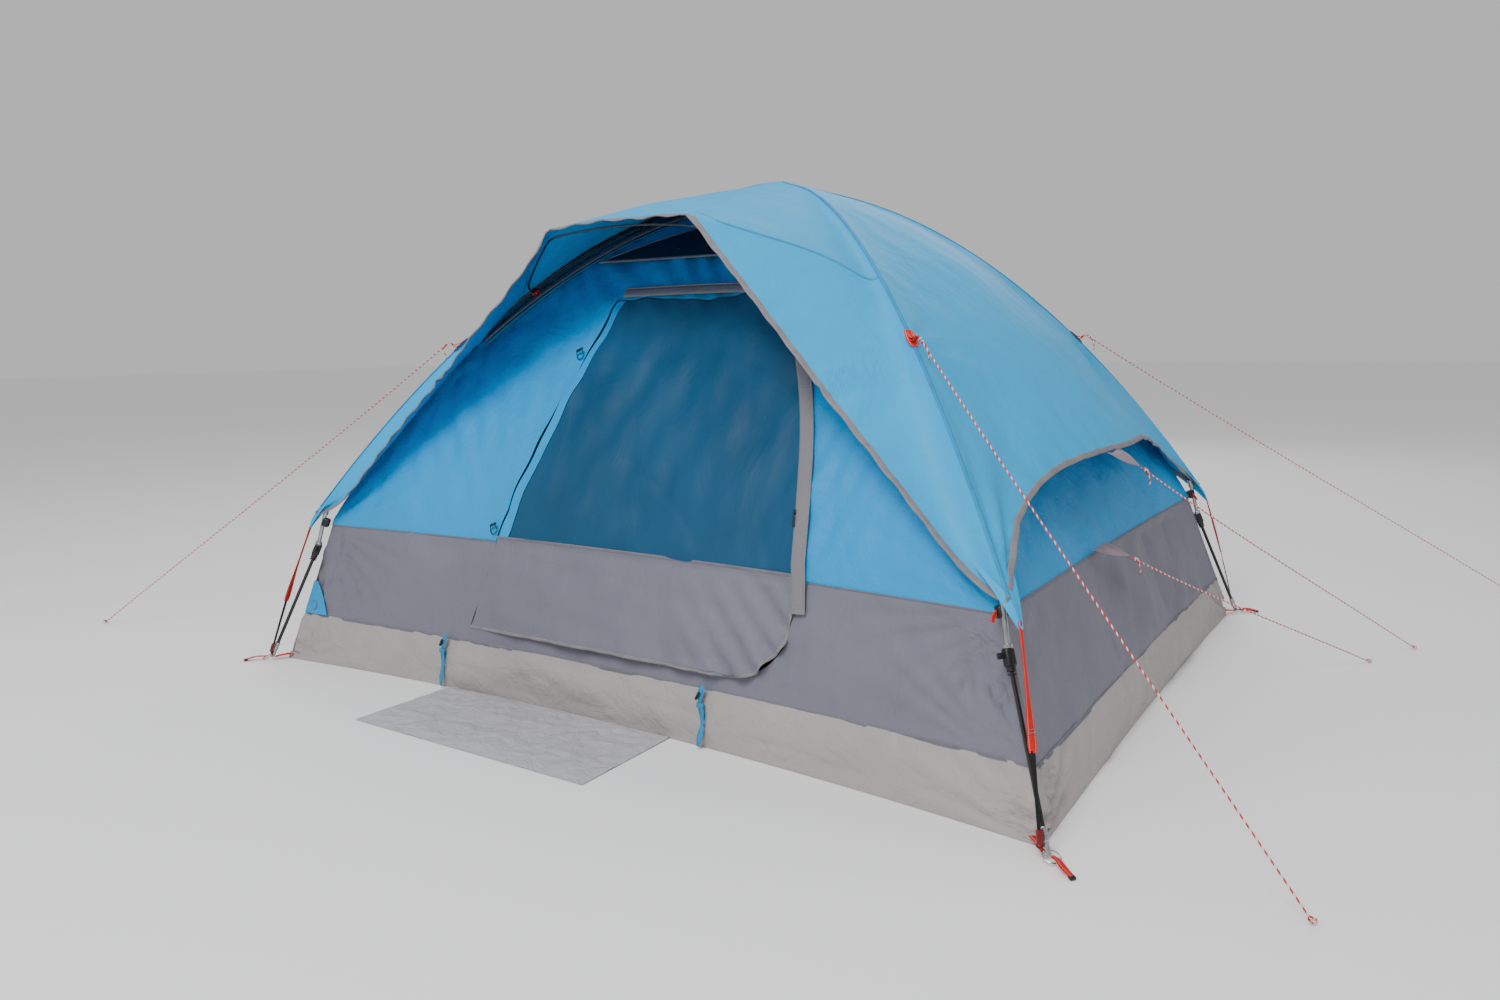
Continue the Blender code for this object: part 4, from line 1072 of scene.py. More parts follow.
def skirt_lift(grid):
    """The grey skirt's puffed shape and its folds."""
    x, z = grid[..., 0], grid[..., 2]
    left, right = -0.44, 0.545
    u = np.clip((x - left) / (right - left), 0, 1)
    v = np.clip((z - DOOR_BOTTOM) / (DOOR_SPLIT - DOOR_BOTTOM), 0, 1)
    puff = 0.020 * np.sin(np.clip(u, 0, 1) * math.pi) ** 0.5 * (1 - v) ** 0.7 + 0.003
    wave = 0.010 * np.clip((u - 0.62) * 3, 0, 1) * np.sin((x + z) * 2 * math.pi / 0.085) * (1 - v * 0.6)
    drape = 0.004 * np.sin((x * 0.8 + z * 0.5) * 2 * math.pi / 0.16 + 1.0) * (1 - 0.5 * v)
    fine = 0.0022 * random_waves(grid, 77, 10, 0.09, (1, 1, 0.6))
    held = np.clip((1 - v) * 8 + 0.05, 0, 1) * np.clip(u * 12, 0.1, 1)
    return (puff + wave + drape) * held + fine * np.clip((1 - v) * 6, 0, 1)


def skirt_right(z):
    """The skirt's rippled right edge."""
    ripple = 0.007 * math.sin((z - 0.17) * 2 * math.pi / 0.075)
    return door_right(max(z, DOOR_BOTTOM)) - 0.003 + ripple * max(0, 1 - (z - 0.17) / 0.26)


def make_door_panel():
    """Netting, blue margin and grey skirt, with the skirt's hem and seam."""
    rows, top = int(80 * FINE), DOOR_TOP - 0.003
    netting = door_grid(DOOR_SPLIT, top, margin_right, lambda z: door_right(z) - 0.003, 0.0003, rows, door_lift)
    obj = piece("door_netting", grid_mesh(netting), M_DOOR, "door", ["door_panel"], "door", WALL_KEEP)
    cloth_sheet(obj, netting)
    margin = door_grid(DOOR_SPLIT, top, lambda z: door_left(z) + 0.007, lambda z: margin_right(z) - 0.0005,
                       0.0016, rows, door_lift)[:, ::4]
    obj = piece("door_margin", grid_mesh(margin), M_WALL, "door", slot="door", keep=WALL_KEEP)
    cloth_sheet(obj, margin)
    skirt = door_grid(DOOR_BOTTOM + 0.001, DOOR_SPLIT + 0.004, lambda z: door_left(z) + 0.003, skirt_right,
                      0.0012, int(44 * FINE), skirt_lift)
    obj = piece("door_skirt", grid_mesh(skirt), M_GREY, "door", slot="wall", keep=WALL_KEEP)
    cloth_sheet(obj, skirt)
    normal = outward_normals(skirt)
    edge = vectors(skirt[0]) + vectors(skirt[1:, -1])
    ups = vectors(normal[0]) + vectors(normal[1:, -1])
    piece("door_hem", sweep(edge, ups, 0.0085, 0.0040, 8), M_TRIM, "door", slot="trim", keep=WALL_KEEP)
    line = [p + Vector((0, -0.0012, 0)) for p in vectors(skirt[-1])]
    # the door seam's darker grey is painted shade for its thin shadow line
    piece("door_seam", sweep(line, Vector((0, -1, 0.2)), 0.008, 0.0016, 8), M_SEAM_AND_SHADE, "door", slot="trim",
          keep=WALL_KEEP)


def make_zip_cover():
    """The flap outside the door's top and right edges, and the piping on its inner side."""
    start = [(DOOR_LEFT_TOP + 0.02, DOOR_TOP), (0.02, DOOR_TOP + 0.002)]
    path = [(x, z) for x, z in smoothed([*start, *RIGHT_PATH], 1) if z > 0.33]
    points, ups, widths = [], [], []
    for index, (x, z) in enumerate(path):
        before, after = Vector(path[max(index - 1, 0)]), Vector(path[min(index + 1, len(path) - 1)])
        along = (after - before).normalized()
        moved = Vector((x, z)) + Vector((-along.y, along.x)) * 0.017
        points.append(front_point(moved.x, moved.y, 0.0105))
        slope = front_point(moved.x, moved.y + 0.01) - front_point(moved.x, moved.y - 0.01)
        ups.append(Vector((0, -slope.z, slope.y)).normalized())
        widths.append(0.034 if z < 1.0 else 0.026)
    piece("zip_cover", sweep(points, ups, widths, 0.0085, 14, flat=0.7), M_TRIM_CLOTH, "fabric",
          ["door_zip_cover"], "trim", WALL_KEEP)
    piping = []
    for index, (point, up) in enumerate(zip(points, ups)):
        side = tangent_at(points, index).cross(up)
        if side.dot(Vector((0.1, 0, -0.5)) - point) < 0:
            side = -side
        piping.append(point - side * 0.0165 + up * 0.0010)
    piece("zip_piping", round_tube(piping, 0.0032, 8), M_TRIM, "fabric", slot="trim", keep=WALL_KEEP)


def zip_place(z):
    """A point in front of the zip at a height."""
    x = 0.551 - 0.170 * (z - 0.40)
    return Vector((x, front_point(x, z).y - 0.0125, z))


def make_slider():
    """The zip's slider: body, bail and pull."""
    low, high = zip_place(0.545), zip_place(0.557)
    along = (high - low).normalized()
    body = placed(rounded_box((0.0085, 0.0065, 0.0125), 0.3), (low + high) / 2, along, (1, 0, 0))
    steps = ((0, -0.0035, 0.010), (0, -0.0060, 0.004), (0, -0.0055, -0.002))
    bail = round_tube([low + Vector(step) for step in steps], 0.0012, 8)
    pull = placed(rounded_box((0.0055, 0.0022, 0.026), 0.4), low - along * 0.013 + Vector((0, -0.0055, 0)),
                  along, (1, 0, 0))
    piece("slider_with_pull", joined([body, bail, pull]), M_PLASTIC, "zip_slider", ["zip_slider"], "plastic",
          WALL_KEEP)


def make_door():
    """The door with its zip cover and slider."""
    make_door_panel()
    make_zip_cover()
    make_slider()


def make_vent():
    """Netting of the vent under the eave, with its border."""
    columns, rows = 60, 14
    low, high = 1.165, 1.262
    grid = np.zeros((rows + 1, columns + 1, 3))
    for row in range(rows + 1):
        level = level_of(low + (high - low) * row / rows)
        half = 0.330 * (1 - row / rows) ** 0.8 + 0.045
        for column in range(columns + 1):
            grid[row, column] = wall_point("front", half * (-1 + 2 * column / columns), level, 0.0165)
    piece("vent_netting", grid_mesh(grid), M_VENT, "fabric", slot="door", keep=WALL_KEEP)
    border = vectors([*grid[0], *grid[1:, -1], *grid[-1][::-1], *grid[1:, 0][::-1]])
    piece("vent_border", sweep(border, Vector((0, -0.8, 0.6)), 0.009, 0.003, 8), M_TRIM, "fabric", slot="trim",
          keep=WALL_KEEP)


def make_sleeve(sign, label):
    """The grey band and its blue edge along one sloping side of the front wall."""
    points, widths = [], []
    for step in range(60):
        half_x, half_y, z = wall_corner(0.36 + (0.86 - 0.36) * step / 59)
        points.append(Vector((sign * half_x, -half_y, z)) + Vector((-sign * 0.014, -0.010, 0.002)))
        widths.append(0.020 + 0.026 * math.sin(math.pi * min(step / 59 * 1.1, 1)))
    up = Vector((sign * 0.35, -0.75, 0.55))
    piece("sleeve_band_" + label, sweep(points, up, widths, 0.006, 12, flat=0.7), M_TRIM_CLOTH, "fabric",
          slot="trim", keep=WALL_KEEP)
    edge = [p + Vector((-sign * 0.012, -0.004, -0.012)) for p in points]
    piece("sleeve_edge_" + label, round_tube(edge, 0.0026, 8), M_BLUE_TAPE, "fabric", slot="strap",
          keep=WALL_KEEP)


def make_door_toggle(index, z):
    """A toggle with its loop, left of the door."""
    p = front_point(door_left(z) - 0.018, z, 0.006)
    bar = placed(rounded_box((0.006, 0.006, 0.024), 0.45), p + Vector((0, -0.006, 0)), (0.9, 0, 0.4), (0, 1, 0))
    loop = []
    for t in np.linspace(0, 6.1, 18):
        y = -0.004 - 0.004 * abs(math.sin(t))
        loop.append(p + Vector((0.012 * math.cos(t), y, -0.012 + 0.014 * math.sin(t))))
    piece("door_toggle_" + str(index), joined([bar, round_tube(loop, 0.0013, 6)]), M_PLASTIC, "fabric",
          slot="plastic", keep=WALL_KEEP)


def make_wall_details():
    """The vent, the sleeves' bands and the toggles beside the door."""
    make_vent()
    for sign, label in ((-1, "left"), (1, "right")):
        make_sleeve(sign, label)
    for index, z in enumerate((0.913, 0.450)):
        make_door_toggle(index, z)


# ---------------------------------------------------------------- floor, mat, straps

def tub_loop(half_x, half_y, z, sag, steps):
    """Once round the bucket floor at a height. Its sides bend in by sag."""
    points = []
    turns = [(-1, -1), (1, -1), (1, 1), (-1, 1), (-1, -1)]
    for start, end in zip(turns, turns[1:]):
        for step in range(steps):
            share = step / steps
            x = (start[0] + (end[0] - start[0]) * share) * half_x
            y = (start[1] + (end[1] - start[1]) * share) * half_y
            bow = sag * 4 * share * (1 - share)
            if start[1] == end[1]:
                y -= math.copysign(bow, y)
            else:
                x -= math.copysign(bow * SIDE_SAG, x)
            points.append((x, y, z))
    points.append(points[0])
    return points


def make_bucket_side():
    """The bucket floor's sloping side, with folds that spread from its corners."""
    steps = int(90 * FINE)
    rows = int(22 * FINE)
    grid = np.zeros((rows + 1, steps * 4 + 1, 3))
    for row in range(rows + 1):
        share = row / rows
        ease = share ** 1.15
        grid[row] = tub_loop(FLOOR_X + (TUB_X - FLOOR_X) * ease, FLOOR_Y + (TUB_Y - FLOOR_Y) * ease,
                             FLOOR_LIFT + (TUB_Z + 0.002) * share,
                             FLOOR_SAG + (wall_sag(-1) - FLOOR_SAG) * ease, steps)
    normal = outward_normals(grid)
    share = np.linspace(0, 1, rows + 1)[:, None]
    column = np.arange(grid.shape[1])[None, :] / steps
    near_corner = np.abs((column + 0.5) % 1 - 0.5)
    hold = np.clip(share * 5, 0, 1) * np.clip((1 - share) * 5, 0, 1)
    slack = np.clip(near_corner * 8, 0.25, 1)
    belly = 0.014 * np.sin(share * math.pi) * np.clip(near_corner * 3, 0, 1)
    lift = belly + 0.0048 * random_waves(grid, 91, 10, 0.20, (1, 1, 2.2)) * hold * slack
    lift += 0.0024 * random_waves(grid, 92, 12, 0.07, (1, 1, 1.5)) * hold
    lift -= 0.0045 * ridged(random_waves(grid, 93, 7, 0.26, (1, 1, 1.6)), 3.0) * hold
    distance = near_corner * 2.0
    radial = np.sin(np.arctan2(share * 0.14, distance + 0.004) * 16 + 1.0) * np.exp(-(distance / 0.22) ** 1.4)
    lift += 0.0095 * radial * hold
    grid = grid + normal * lift[..., None]
    grid[..., 2] = np.maximum(grid[..., 2], FLOOR_LIFT)
    obj = piece("bucket_side", grid_mesh(grid), M_TUB, "fabric", ["tub"], "floor", STRAP_KEEP)


def make_floor_panel():
    """The flat floor inside the bucket side, with low ripples that end at its edge."""
    loop = tub_loop(FLOOR_X - 0.001, FLOOR_Y - 0.001, 0.0, FLOOR_SAG, 60)[:-1]
    shape = bmesh.new()
    rings = []
    for share in np.linspace(1.0, 0.0, 24)[:-1]:
        ring = []
        for x, y, _ in loop:
            px, py = x * share, y * share
            wave = math.sin(px * 21 + 2 * math.sin(py * 7)) * math.sin(py * 17 + px * 5)
            z = FLOOR_LIFT + 0.0016 * (0.5 + 0.5 * wave) * (1 - share ** 8)
            ring.append(shape.verts.new((px, py, z)))
        rings.append(ring)
    for outer, inner in zip(rings, rings[1:]):
        for s in range(len(outer)):
            t = (s + 1) % len(outer)
            shape.faces.new((outer[s], outer[t], inner[t], inner[s]))
    shape.faces.new(rings[-1])
    mesh = bpy.data.meshes.new("floor_panel")
    shape.to_mesh(mesh)
    shape.free()
    obj = piece("floor_panel", thickened(mesh, THIN_CLOTH), M_TUB, "fabric", slot="floor")


def make_tub():
    """The bucket floor."""
    make_bucket_side()
    make_floor_panel()


def make_mat():
    """The mat, with its old folds."""
    columns, rows = int(120 * FINE), int(60 * FINE)
    grid = np.zeros((rows + 1, columns + 1, 3))
    for row in range(rows + 1):
        v = row / rows
        for column in range(columns + 1):
            u = column / columns
            x = MAT_LEFT + 0.002 + (MAT_RIGHT - MAT_LEFT - 0.004) * u + 0.012 * (1 - v) * (0.5 - u)
            back = -(FLOOR_Y - FLOOR_SAG * (1 - (x / FLOOR_X) ** 2)) - 0.002
            y = back + (MAT_FRONT + 0.001 - back) * v
            y += 0.004 * math.sin(u * 9 + 1) * v * (1 - v) * 2
            grid[row, column] = (x, y, 0.0)
    u = np.linspace(0, 1, columns + 1)[None, :]
    v = np.linspace(0, 1, rows + 1)[:, None]
    folds_across = sum(np.exp(-np.abs(u - place) * 60) for place in (0.27, 0.52, 0.77))
    folds_along = sum(np.exp(-np.abs(v - place) * 30) for place in (0.36, 0.68))
    lift = 0.0042 + 0.0018 * random_waves(grid, 31, 10, 0.12) + 0.0012 * random_waves(grid, 32, 12, 0.04)
    lift += 0.0035 * folds_across + 0.0026 * folds_along
    lift -= 0.0022 * ridged(random_waves(grid, 33, 7, 0.15), 3.0)
    lift += 0.0035 * np.abs(np.sin(u * 2 * math.pi * 2.1 + 0.6)) * 0.6
    rim = np.minimum(np.minimum(u, 1 - u) * 14, np.minimum(v * 8, (1 - v) * 5))
    lift = lift * np.clip(rim + 0.35, 0, 1)
    grid[..., 2] = np.maximum(lift, FLOOR_LIFT)
    obj = piece("mat_sheet", grid_mesh(grid, centre=(0, -1.05, -1.0)), M_MAT, "mat", ["mat"], "floor")


def make_mat_straps():
    """Two blue tapes with a knot and a toggle, down the front of the bucket floor."""
    count = 26
    for name, x in (("left", -0.530), ("right", 0.338)):
        points, ups = [], []
        for step in range(count):
            s = step / (count - 1)
            z = TUB_Z + 0.016 - (TUB_Z + 0.008) * s
            share = 1 - min(max(z / TUB_Z, 0), 1)
            half_y = TUB_Y + (FLOOR_Y - TUB_Y) * share
            sag = wall_sag(-1) + (FLOOR_SAG - wall_sag(-1)) * share
            y = -(half_y - sag * (1 - (x / FLOOR_X) ** 2))
            bulge = 0.019 + 0.004 * math.sin(s * 9)
            points.append(Vector((x + 0.004 * math.sin(s * 7 + x * 9), y - bulge, max(z, 0.006))))
            ups.append(Vector((0.1 * math.sin(s * 6), -1, 0.3)))
        widths = [0.014 + 0.003 * math.sin(i * 0.7) for i in range(count)]
        knot = points[8]
        knob = placed(rounded_box((0.020, 0.008, 0.012), 0.4), knot + Vector((0.002, -0.003, 0)), (0, 0.2, 1),
                      (1, 0, 0))
        steps = ((0.004, -0.005, 0), (0.012, -0.009, -0.012), (0.010, -0.010, -0.028), (0.016, -0.010, -0.040))
        tail = sweep([knot + Vector(step) for step in steps], Vector((0, -1, 0)), 0.010, 0.0020, 8)
        piece("mat_tape_" + name, joined([sweep(points, ups, widths, 0.0022, 8), knob, tail]), M_BLUE_TAPE,
              "fabric", ["mat_strap_" + name], "strap", STRAP_KEEP)
        toggle = placed(rounded_box((0.006, 0.006, 0.022), 0.45), points[4] + Vector((-0.004, -0.006, 0)),
                        (0.5, 0, 0.9), (1, 0, 0))
        piece("mat_toggle_" + name, toggle, M_PLASTIC, "fabric", slot="plastic", keep=STRAP_KEEP)


def strap_place(corner, share):
    """A point on a corner's strap: share is 0 at the fly and 1 at the foot."""
    r = 1.4200 + 0.1280 * share
    z = 0.398 - 0.362 * share
    side = STRAP_SIGN[corner] * (0.012 - 0.026 * share)
    return at(corner, r + 0.004 * math.sin(share * math.pi), z, side)


def make_strap(corner):
    """Red webbing from the fly's corner, its stitches, the black tail below it and the hook at the foot."""
    out, across = diagonal(corner)
    face = (out + across * 0.35 * STRAP_SIGN[corner] + Vector((0, 0, 0.25))).normalized()
    shares = np.linspace(-0.02, 0.60, 40)
    widths = np.interp(shares, [-0.02, 0.10, 0.30, 0.45, 0.56, 0.60], [0.012, 0.011, 0.015, 0.021, 0.022, 0.017])
    points = [strap_place(corner, v) for v in shares]
    ups = [(face + across * 0.25 * math.sin(v * 7)).normalized() for v in shares]
    piece("corner_strap_" + corner, sweep(points, ups, list(widths), 0.0024, 8), M_RED, "fabric",
          ["fly_strap_" + corner], "webbing", STRAP_KEEP)
    stitches = []
    for v in (0.49, 0.505):
        p = strap_place(corner, v) + face * 0.0018
        stitches.append(sweep([p - across * 0.0085, p, p + across * 0.0085], face, 0.0016, 0.0010, 6))
    piece("strap_stitch_" + corner, joined(stitches), M_TRIM, "fabric", slot="trim", keep=STRAP_KEEP)
    low = [strap_place(corner, v) for v in np.linspace(0.59, 0.985, 20)]
    tail = sweep(low, face, list(np.linspace(0.0125, 0.0095, 20)), 0.0020, 8)
    piece("corner_strap_tail_" + corner, tail, M_BLACK_TAPE, "fabric", slot="plastic", keep=STRAP_KEEP)
    foot = strap_place(corner, 1.0)
    hook = [placed(rounded_box((0.013, 0.007, 0.026), 0.35), foot + Vector((0, 0, 0.006)),
                   foot - strap_place(corner, 0.9), across)]
    bend = []
    for t in np.linspace(0, 3.1, 14):
        turn = across * (0.007 * math.cos(t)) + out * 0.002 + Vector((0, 0, -0.006 - 0.007 * math.sin(t)))
        bend.append(foot + turn)
    hook.append(round_tube(bend, 0.0022, 8))
    piece("corner_hook_" + corner, joined(hook), M_DARK_RED, "fabric", slot="webbing", keep=STRAP_KEEP)


def make_gusset(corner):
    """The piece of fly cloth that brings the fly's corner down to the strap."""
    out, across = diagonal(corner)
    sign_x, sign_y = CORNERS[corner]
    first = front_edge if sign_y < 0 else side_edge("back")
    second = side_edge("right" if sign_x > 0 else "left")
    reach = 0.91
    a = first(reach * sign_x)
    b = second(reach * sign_y)
    top = at(corner, CORNER_R - 0.010, ridge_z(CORNER_R - 0.010) + 0.0012)
    tip = strap_place(corner, 0.02)
    rows, columns = 16, 16
    grid = np.zeros((rows + 1, columns + 1, 3))
    for row in range(rows + 1):
        v = row / rows
        for column in range(columns + 1):
            u = column / columns
            edge_point = a.lerp(top, u * 2) if u < 0.5 else top.lerp(b, u * 2 - 1)
            low_point = tip + across * (0.010 * (u - 0.5) * (1 if sign_x * sign_y < 0 else -1))
            p = edge_point.lerp(low_point, v ** 0.9) + out * 0.006 * math.sin(v * math.pi)
            grid[row, column] = p + Vector((0, 0, 0.0016 * math.sin(u * 14) * (1 - v)))
    piece("fly_gusset_" + corner, grid_mesh(grid, FLY_CLOTH, centre=(0, 0, 0.3)), M_FLY, "fabric", slot="fly",
          keep=STRAP_KEEP)


def make_floor_webbing(corner):
    """Webbing from the floor's corner out to the foot."""
    sign_x, sign_y = CORNERS[corner]
    inner = Vector((sign_x * (FLOOR_X - 0.030), sign_y * (FLOOR_Y - 0.026), 0.012))
    outer = at(corner, FOOT_R - 0.016, 0.010)
    run = [inner.lerp(outer, v / 12) + Vector((0, 0, 0.004 * math.sin(v / 12 * math.pi))) for v in range(13)]
    web = sweep(run, Vector((0, 0, 1)), list(np.linspace(0.026, 0.016, 13)), 0.0026, 8)
    piece("floor_webbing_" + corner, web, M_RED, "fabric", ["corner_webbing_" + corner], "webbing", STRAP_KEEP)


def make_peg_loop(corner):
    """Folded webbing beyond the foot ring, with a moulded tip."""
    out, across = diagonal(corner)
    start = at(corner, RING_EYE_R + 0.024, 0.013)
    count = 16
    loop = []
    for r in np.linspace(-0.006, 0.056, count):
        loop.append(start + out * r + Vector((0, 0, -0.008 * r / 0.055 + 0.003 * math.sin(r * 60))))
    up = (across * 0.25 * STRAP_SIGN[corner] + Vector((0, 0, 1))).normalized()
    widths = list(np.interp(np.arange(count), [0, 3, 10, 15], [0.009, 0.012, 0.016, 0.012]))
    for layer, height in (("a", 0.0014), ("b", -0.0014)):
        line = [p + Vector((0, 0, height)) + across * 0.0015 * math.sin(i * 0.5) for i, p in enumerate(loop)]
        piece("peg_loop_" + layer + "_" + corner, sweep(line, up, widths, 0.0020, 8), M_RED, "fabric",
              slot="webbing", keep=STRAP_KEEP)
    tip = placed(rounded_box((0.012, 0.006, 0.010), 0.4), loop[-1], out, across)
    piece("peg_tip_" + corner, tip, M_PLASTIC, "fabric", slot="plastic", keep=STRAP_KEEP)


def make_corner_straps():
    """What ties each corner of the fly and of the floor to its foot."""
    for corner in CORNERS:
        make_strap(corner)
        make_gusset(corner)
        make_floor_webbing(corner)
        make_peg_loop(corner)


def make_corner_patch():
    """Blue patch with a plain ring at the front left corner of the wall."""
    rows, columns = 16, 12
    grid = np.zeros((rows + 1, columns + 1, 3))
    for row in range(rows + 1):
        v = row / rows
        level = level_of(TUB_Z + 0.004 + 0.098 * v)
        left = -wall_corner(level)[0] + 0.0015
        width = 0.084 * (1 - v) ** 0.8 + 0.012
        for column in range(columns + 1):
            grid[row, column] = wall_point("front", left + width * column / columns, level, 0.0062)
    piece("corner_patch", grid_mesh(grid), M_WALL, "fabric", slot="wall", keep=WALL_KEEP)
    x = 0.040 - wall_corner(-0.99)[0]
    centre = front_point(x, TUB_Z + 0.030, 0.0078)
    up = (front_point(x, TUB_Z + 0.040, 0.0078) - centre).normalized()
    ring = []
    for t in np.linspace(0, 6.28, 30):
        ring.append(centre + Vector((1, 0, 0)) * (0.013 * math.cos(t)) + up * (0.013 * math.sin(t)))
    piece("corner_patch_ring", round_tube(ring, 0.0013, 6), M_TRIM, "fabric", slot="trim", keep=WALL_KEEP)


def make_ridge_tab(corner):
    """A folded red tab on a ridge, over its patch, that takes a guyline."""
    out, across = diagonal(corner)
    slope = ridge_slope(TAB_R)
    along = (out - Vector((0, 0, slope))).normalized()
    up = (Vector((0, 0, 1)) + out * slope).normalized()
    base = at(corner, TAB_R, ridge_z(TAB_R))
    points = [base - along * 0.022 + up * 0.0030, base - along * 0.004 + up * 0.0050,
              base + along * 0.010 + up * 0.014, at(corner, TAB_R + 0.030, ridge_z(TAB_R) + 0.0105),
              base + along * 0.012 + up * 0.006, base + along * 0.002 + up * 0.0035]
    fold = [Vector(p) for p in smoothed(points, 2)]
    ups = [tangent_at(fold, i).cross(across) for i in range(len(fold))]
    patch = [base + along * s + up * 0.0022 for s in (-0.030, -0.015, 0.0, 0.015, 0.024)]
    parts = [sweep(fold, ups, 0.014, 0.0018, 8),
             sweep(patch, up, [0.020, 0.026, 0.028, 0.024, 0.012], 0.0022, 8)]
    piece("ridge_tab_" + corner, joined(parts), M_RED, "fabric", ["guy_tab_" + corner], "webbing", FLY_KEEP,
          FLY_ANCHOR)


def make_side_tab(name, base, tip, keep, anchor):
    """A triangle of doubled cloth on the right side that takes a guyline."""
    base, tip = Vector(base), Vector(tip)
    rows, columns = 14, 12
    grid = np.zeros((rows + 1, columns + 1, 3))
    for row in range(rows + 1):
        v = row / rows
        for column in range(columns + 1):
            u = -1 + 2 * column / columns
            p = base.lerp(tip, v) + Vector((0, 0.062 * (1 - v) ** 0.9 * u + 0.004 * u, 0))
            p.z += 0.004 * math.sin(v * 3.1) * (1 - u * u) + 0.002 * math.sin(u * 5 + v * 6)
            grid[row, column] = p
    piece("side_tab_" + name, grid_mesh(grid, 0.0012, centre=(0.9, -0.15, 0.3)), M_TAB, "fabric",
          ["guy_tab_right_" + name], "trim", keep, anchor)


def make_ridge_tabs():
    """The tabs that take the guylines."""
    for corner in CORNERS:
        make_ridge_tab(corner)
    make_side_tab("fly", SIDE_TAB_BASE, SIDE_TAB_TIP, FLY_KEEP, FLY_ANCHOR)
    make_side_tab("wall", WALL_TAB_BASE, WALL_TAB_TIP, WALL_KEEP, 0.0)


def straight(start, end, count=30):
    """Points on a taut line, which sags a little between its ends."""
    points = []
    for step in range(count + 1):
        share = step / count
        sag = 0.012 * 4 * share * (1 - share)
        points.append(start.lerp(end, share) - Vector((0, 0, sag * (1 - share))))
    return points


def fly_keep_at(z):
    """The keep that takes a piece which stands on the ground down with a point of the fly."""
    return (FLY_ANCHOR + (z - FLY_ANCHOR) * FLY_KEEP) / z


def guyline_runs():
    """Upper end, ground end and keep of each guyline."""
    runs = {}
    for corner, (x, y) in GUY_PEGS.items():
        start = at(corner, TAB_R + 0.032, ridge_z(TAB_R) + 0.0105)
        runs[corner] = (start, Vector((x, y, 0.003)), fly_keep_at(start.z))
    for name, tip in (("right_fly", SIDE_TAB_TIP), ("right_wall", WALL_TAB_TIP)):
        start = Vector(tip) + Vector((0.003, 0, -0.001))
        keep = WALL_KEEP if name == "right_wall" else fly_keep_at(start.z)
        runs[name] = (start, Vector((*SIDE_PEGS[name], 0.003)), keep)
    return runs


def make_tab_knot(name, start, direction, keep):
    """Turns of cord round the line near its tab, with a loose tail."""
    turns = []
    side = Vector((0, 0, 1)).cross(direction).normalized()
    up = direction.cross(side)
    for t in np.linspace(0, 4 * math.pi, 40):
        place = start + direction * 0.010 + direction * (0.0013 * t)
        turns.append(place + side * KNOT_R * math.cos(t) + up * KNOT_R * math.sin(t))
    steps = ((0, 0, 0), (0.004, 0, -0.006), (0.008, 0.004, -0.020), (0.006, 0.010, -0.036))
    tail = smoothed([turns[-1] + Vector(step) for step in steps], 2)
    knot = joined([round_tube(turns, 0.0016, 6), round_tube(tail, 0.0016, 6)])
    piece("guy_knot_" + name, knot, M_CORD, "fabric", slot="cord", keep=keep)


def make_guylines():
    """Five striped cords, each knotted at its tab and at its ground end."""
    for name, (start, end, keep) in guyline_runs().items():
        points = straight(start, end)
        obj = piece("guy_cord_" + name, round_tube(points, GUY_RADIUS, 8), M_CORD, "fabric",
                    ["guyline_" + name], "cord", keep)
        direction = (end - start).normalized()
        make_tab_knot(name, start, direction, keep)
        turns = []
        for t in np.linspace(0, 11, 40):
            turn = Vector((0.0055 * math.cos(t), 0.0055 * math.sin(t), 0.001 + 0.0005 * t))
            turns.append(end + turn - direction * 0.004)
        piece("guy_end_" + name, round_tube(turns, 0.0016, 6), M_CORD, "fabric", slot="cord", keep=keep)


def under_pole(corner, r, gap):
    """A point below a pole's centre line, the pole's slope there, across it, and the way down."""
    out, across = diagonal(corner)
    slope = Vector((out.x, out.y, -ridge_slope(r))).normalized()
    under = Vector((out.x * slope.z, out.y * slope.z, -math.hypot(slope.x, slope.y)))
    return at(corner, r, pole_z(r)) + under * gap, slope, across, under


def make_rod():
    """The bent rod under the eave, from one front pole's clip to the other's."""
    centre, _, across, _ = under_pole("front_right", CLIP_R, CLIP_GAP)
    forward = across if across.y < 0 else -across
    right = [centre + forward * 0.0125]
    for share in (0.82, 0.66, 0.50, 0.34, 0.20, 0.10, 0.04):
        drop = 0.010 + 0.006 * (1 - share) + 0.020 * share ** 4
        right.append(rod_line(share) + Vector((-0.004, 0.006, -drop)))
    middle = []
    for step in range(9):
        share = 1 - 2 * step / 8
        z = EAVE_Z - 0.0125 + EAVE_RISE * 0.9 * (1 - share ** 2)
        middle.append(Vector((0.196 * share, EAVE_Y + 0.009, z)))
    left = [Vector((-p.x, p.y, p.z)) for p in reversed(right)]
    piece("brow_rod_round", round_tube(smoothed(right + middle + left, 2), 0.0027, 10), M_POLE, "fabric",
          ["brow_rod"], "pole", FLY_KEEP, FLY_ANCHOR)


def make_pole_clip(corner):
    """A red clip with a hook round a front pole and a ball for the rod's end."""
    centre, slope, across, under = under_pole(corner, CLIP_R, CLIP_GAP)
    forward = across if across.y < 0 else -across
    hook = []
    for t in np.linspace(0.5, 5.2, 18):
        hook.append(centre - under * 0.004 + slope * (0.011 * math.cos(t)) + across * (0.011 * math.sin(t)))
    parts = [placed(rounded_box((0.013, 0.011, 0.026), 0.35), centre, slope, across),
             round_tube(hook, 0.0022, 8), ball(0.0068, centre + forward * 0.0135 + under * 0.002)]
    piece("pole_clip_" + corner, joined(parts), M_RED_PLASTIC, "upper_pole_" + corner,
          ["brow_clip_" + corner], "webbing")


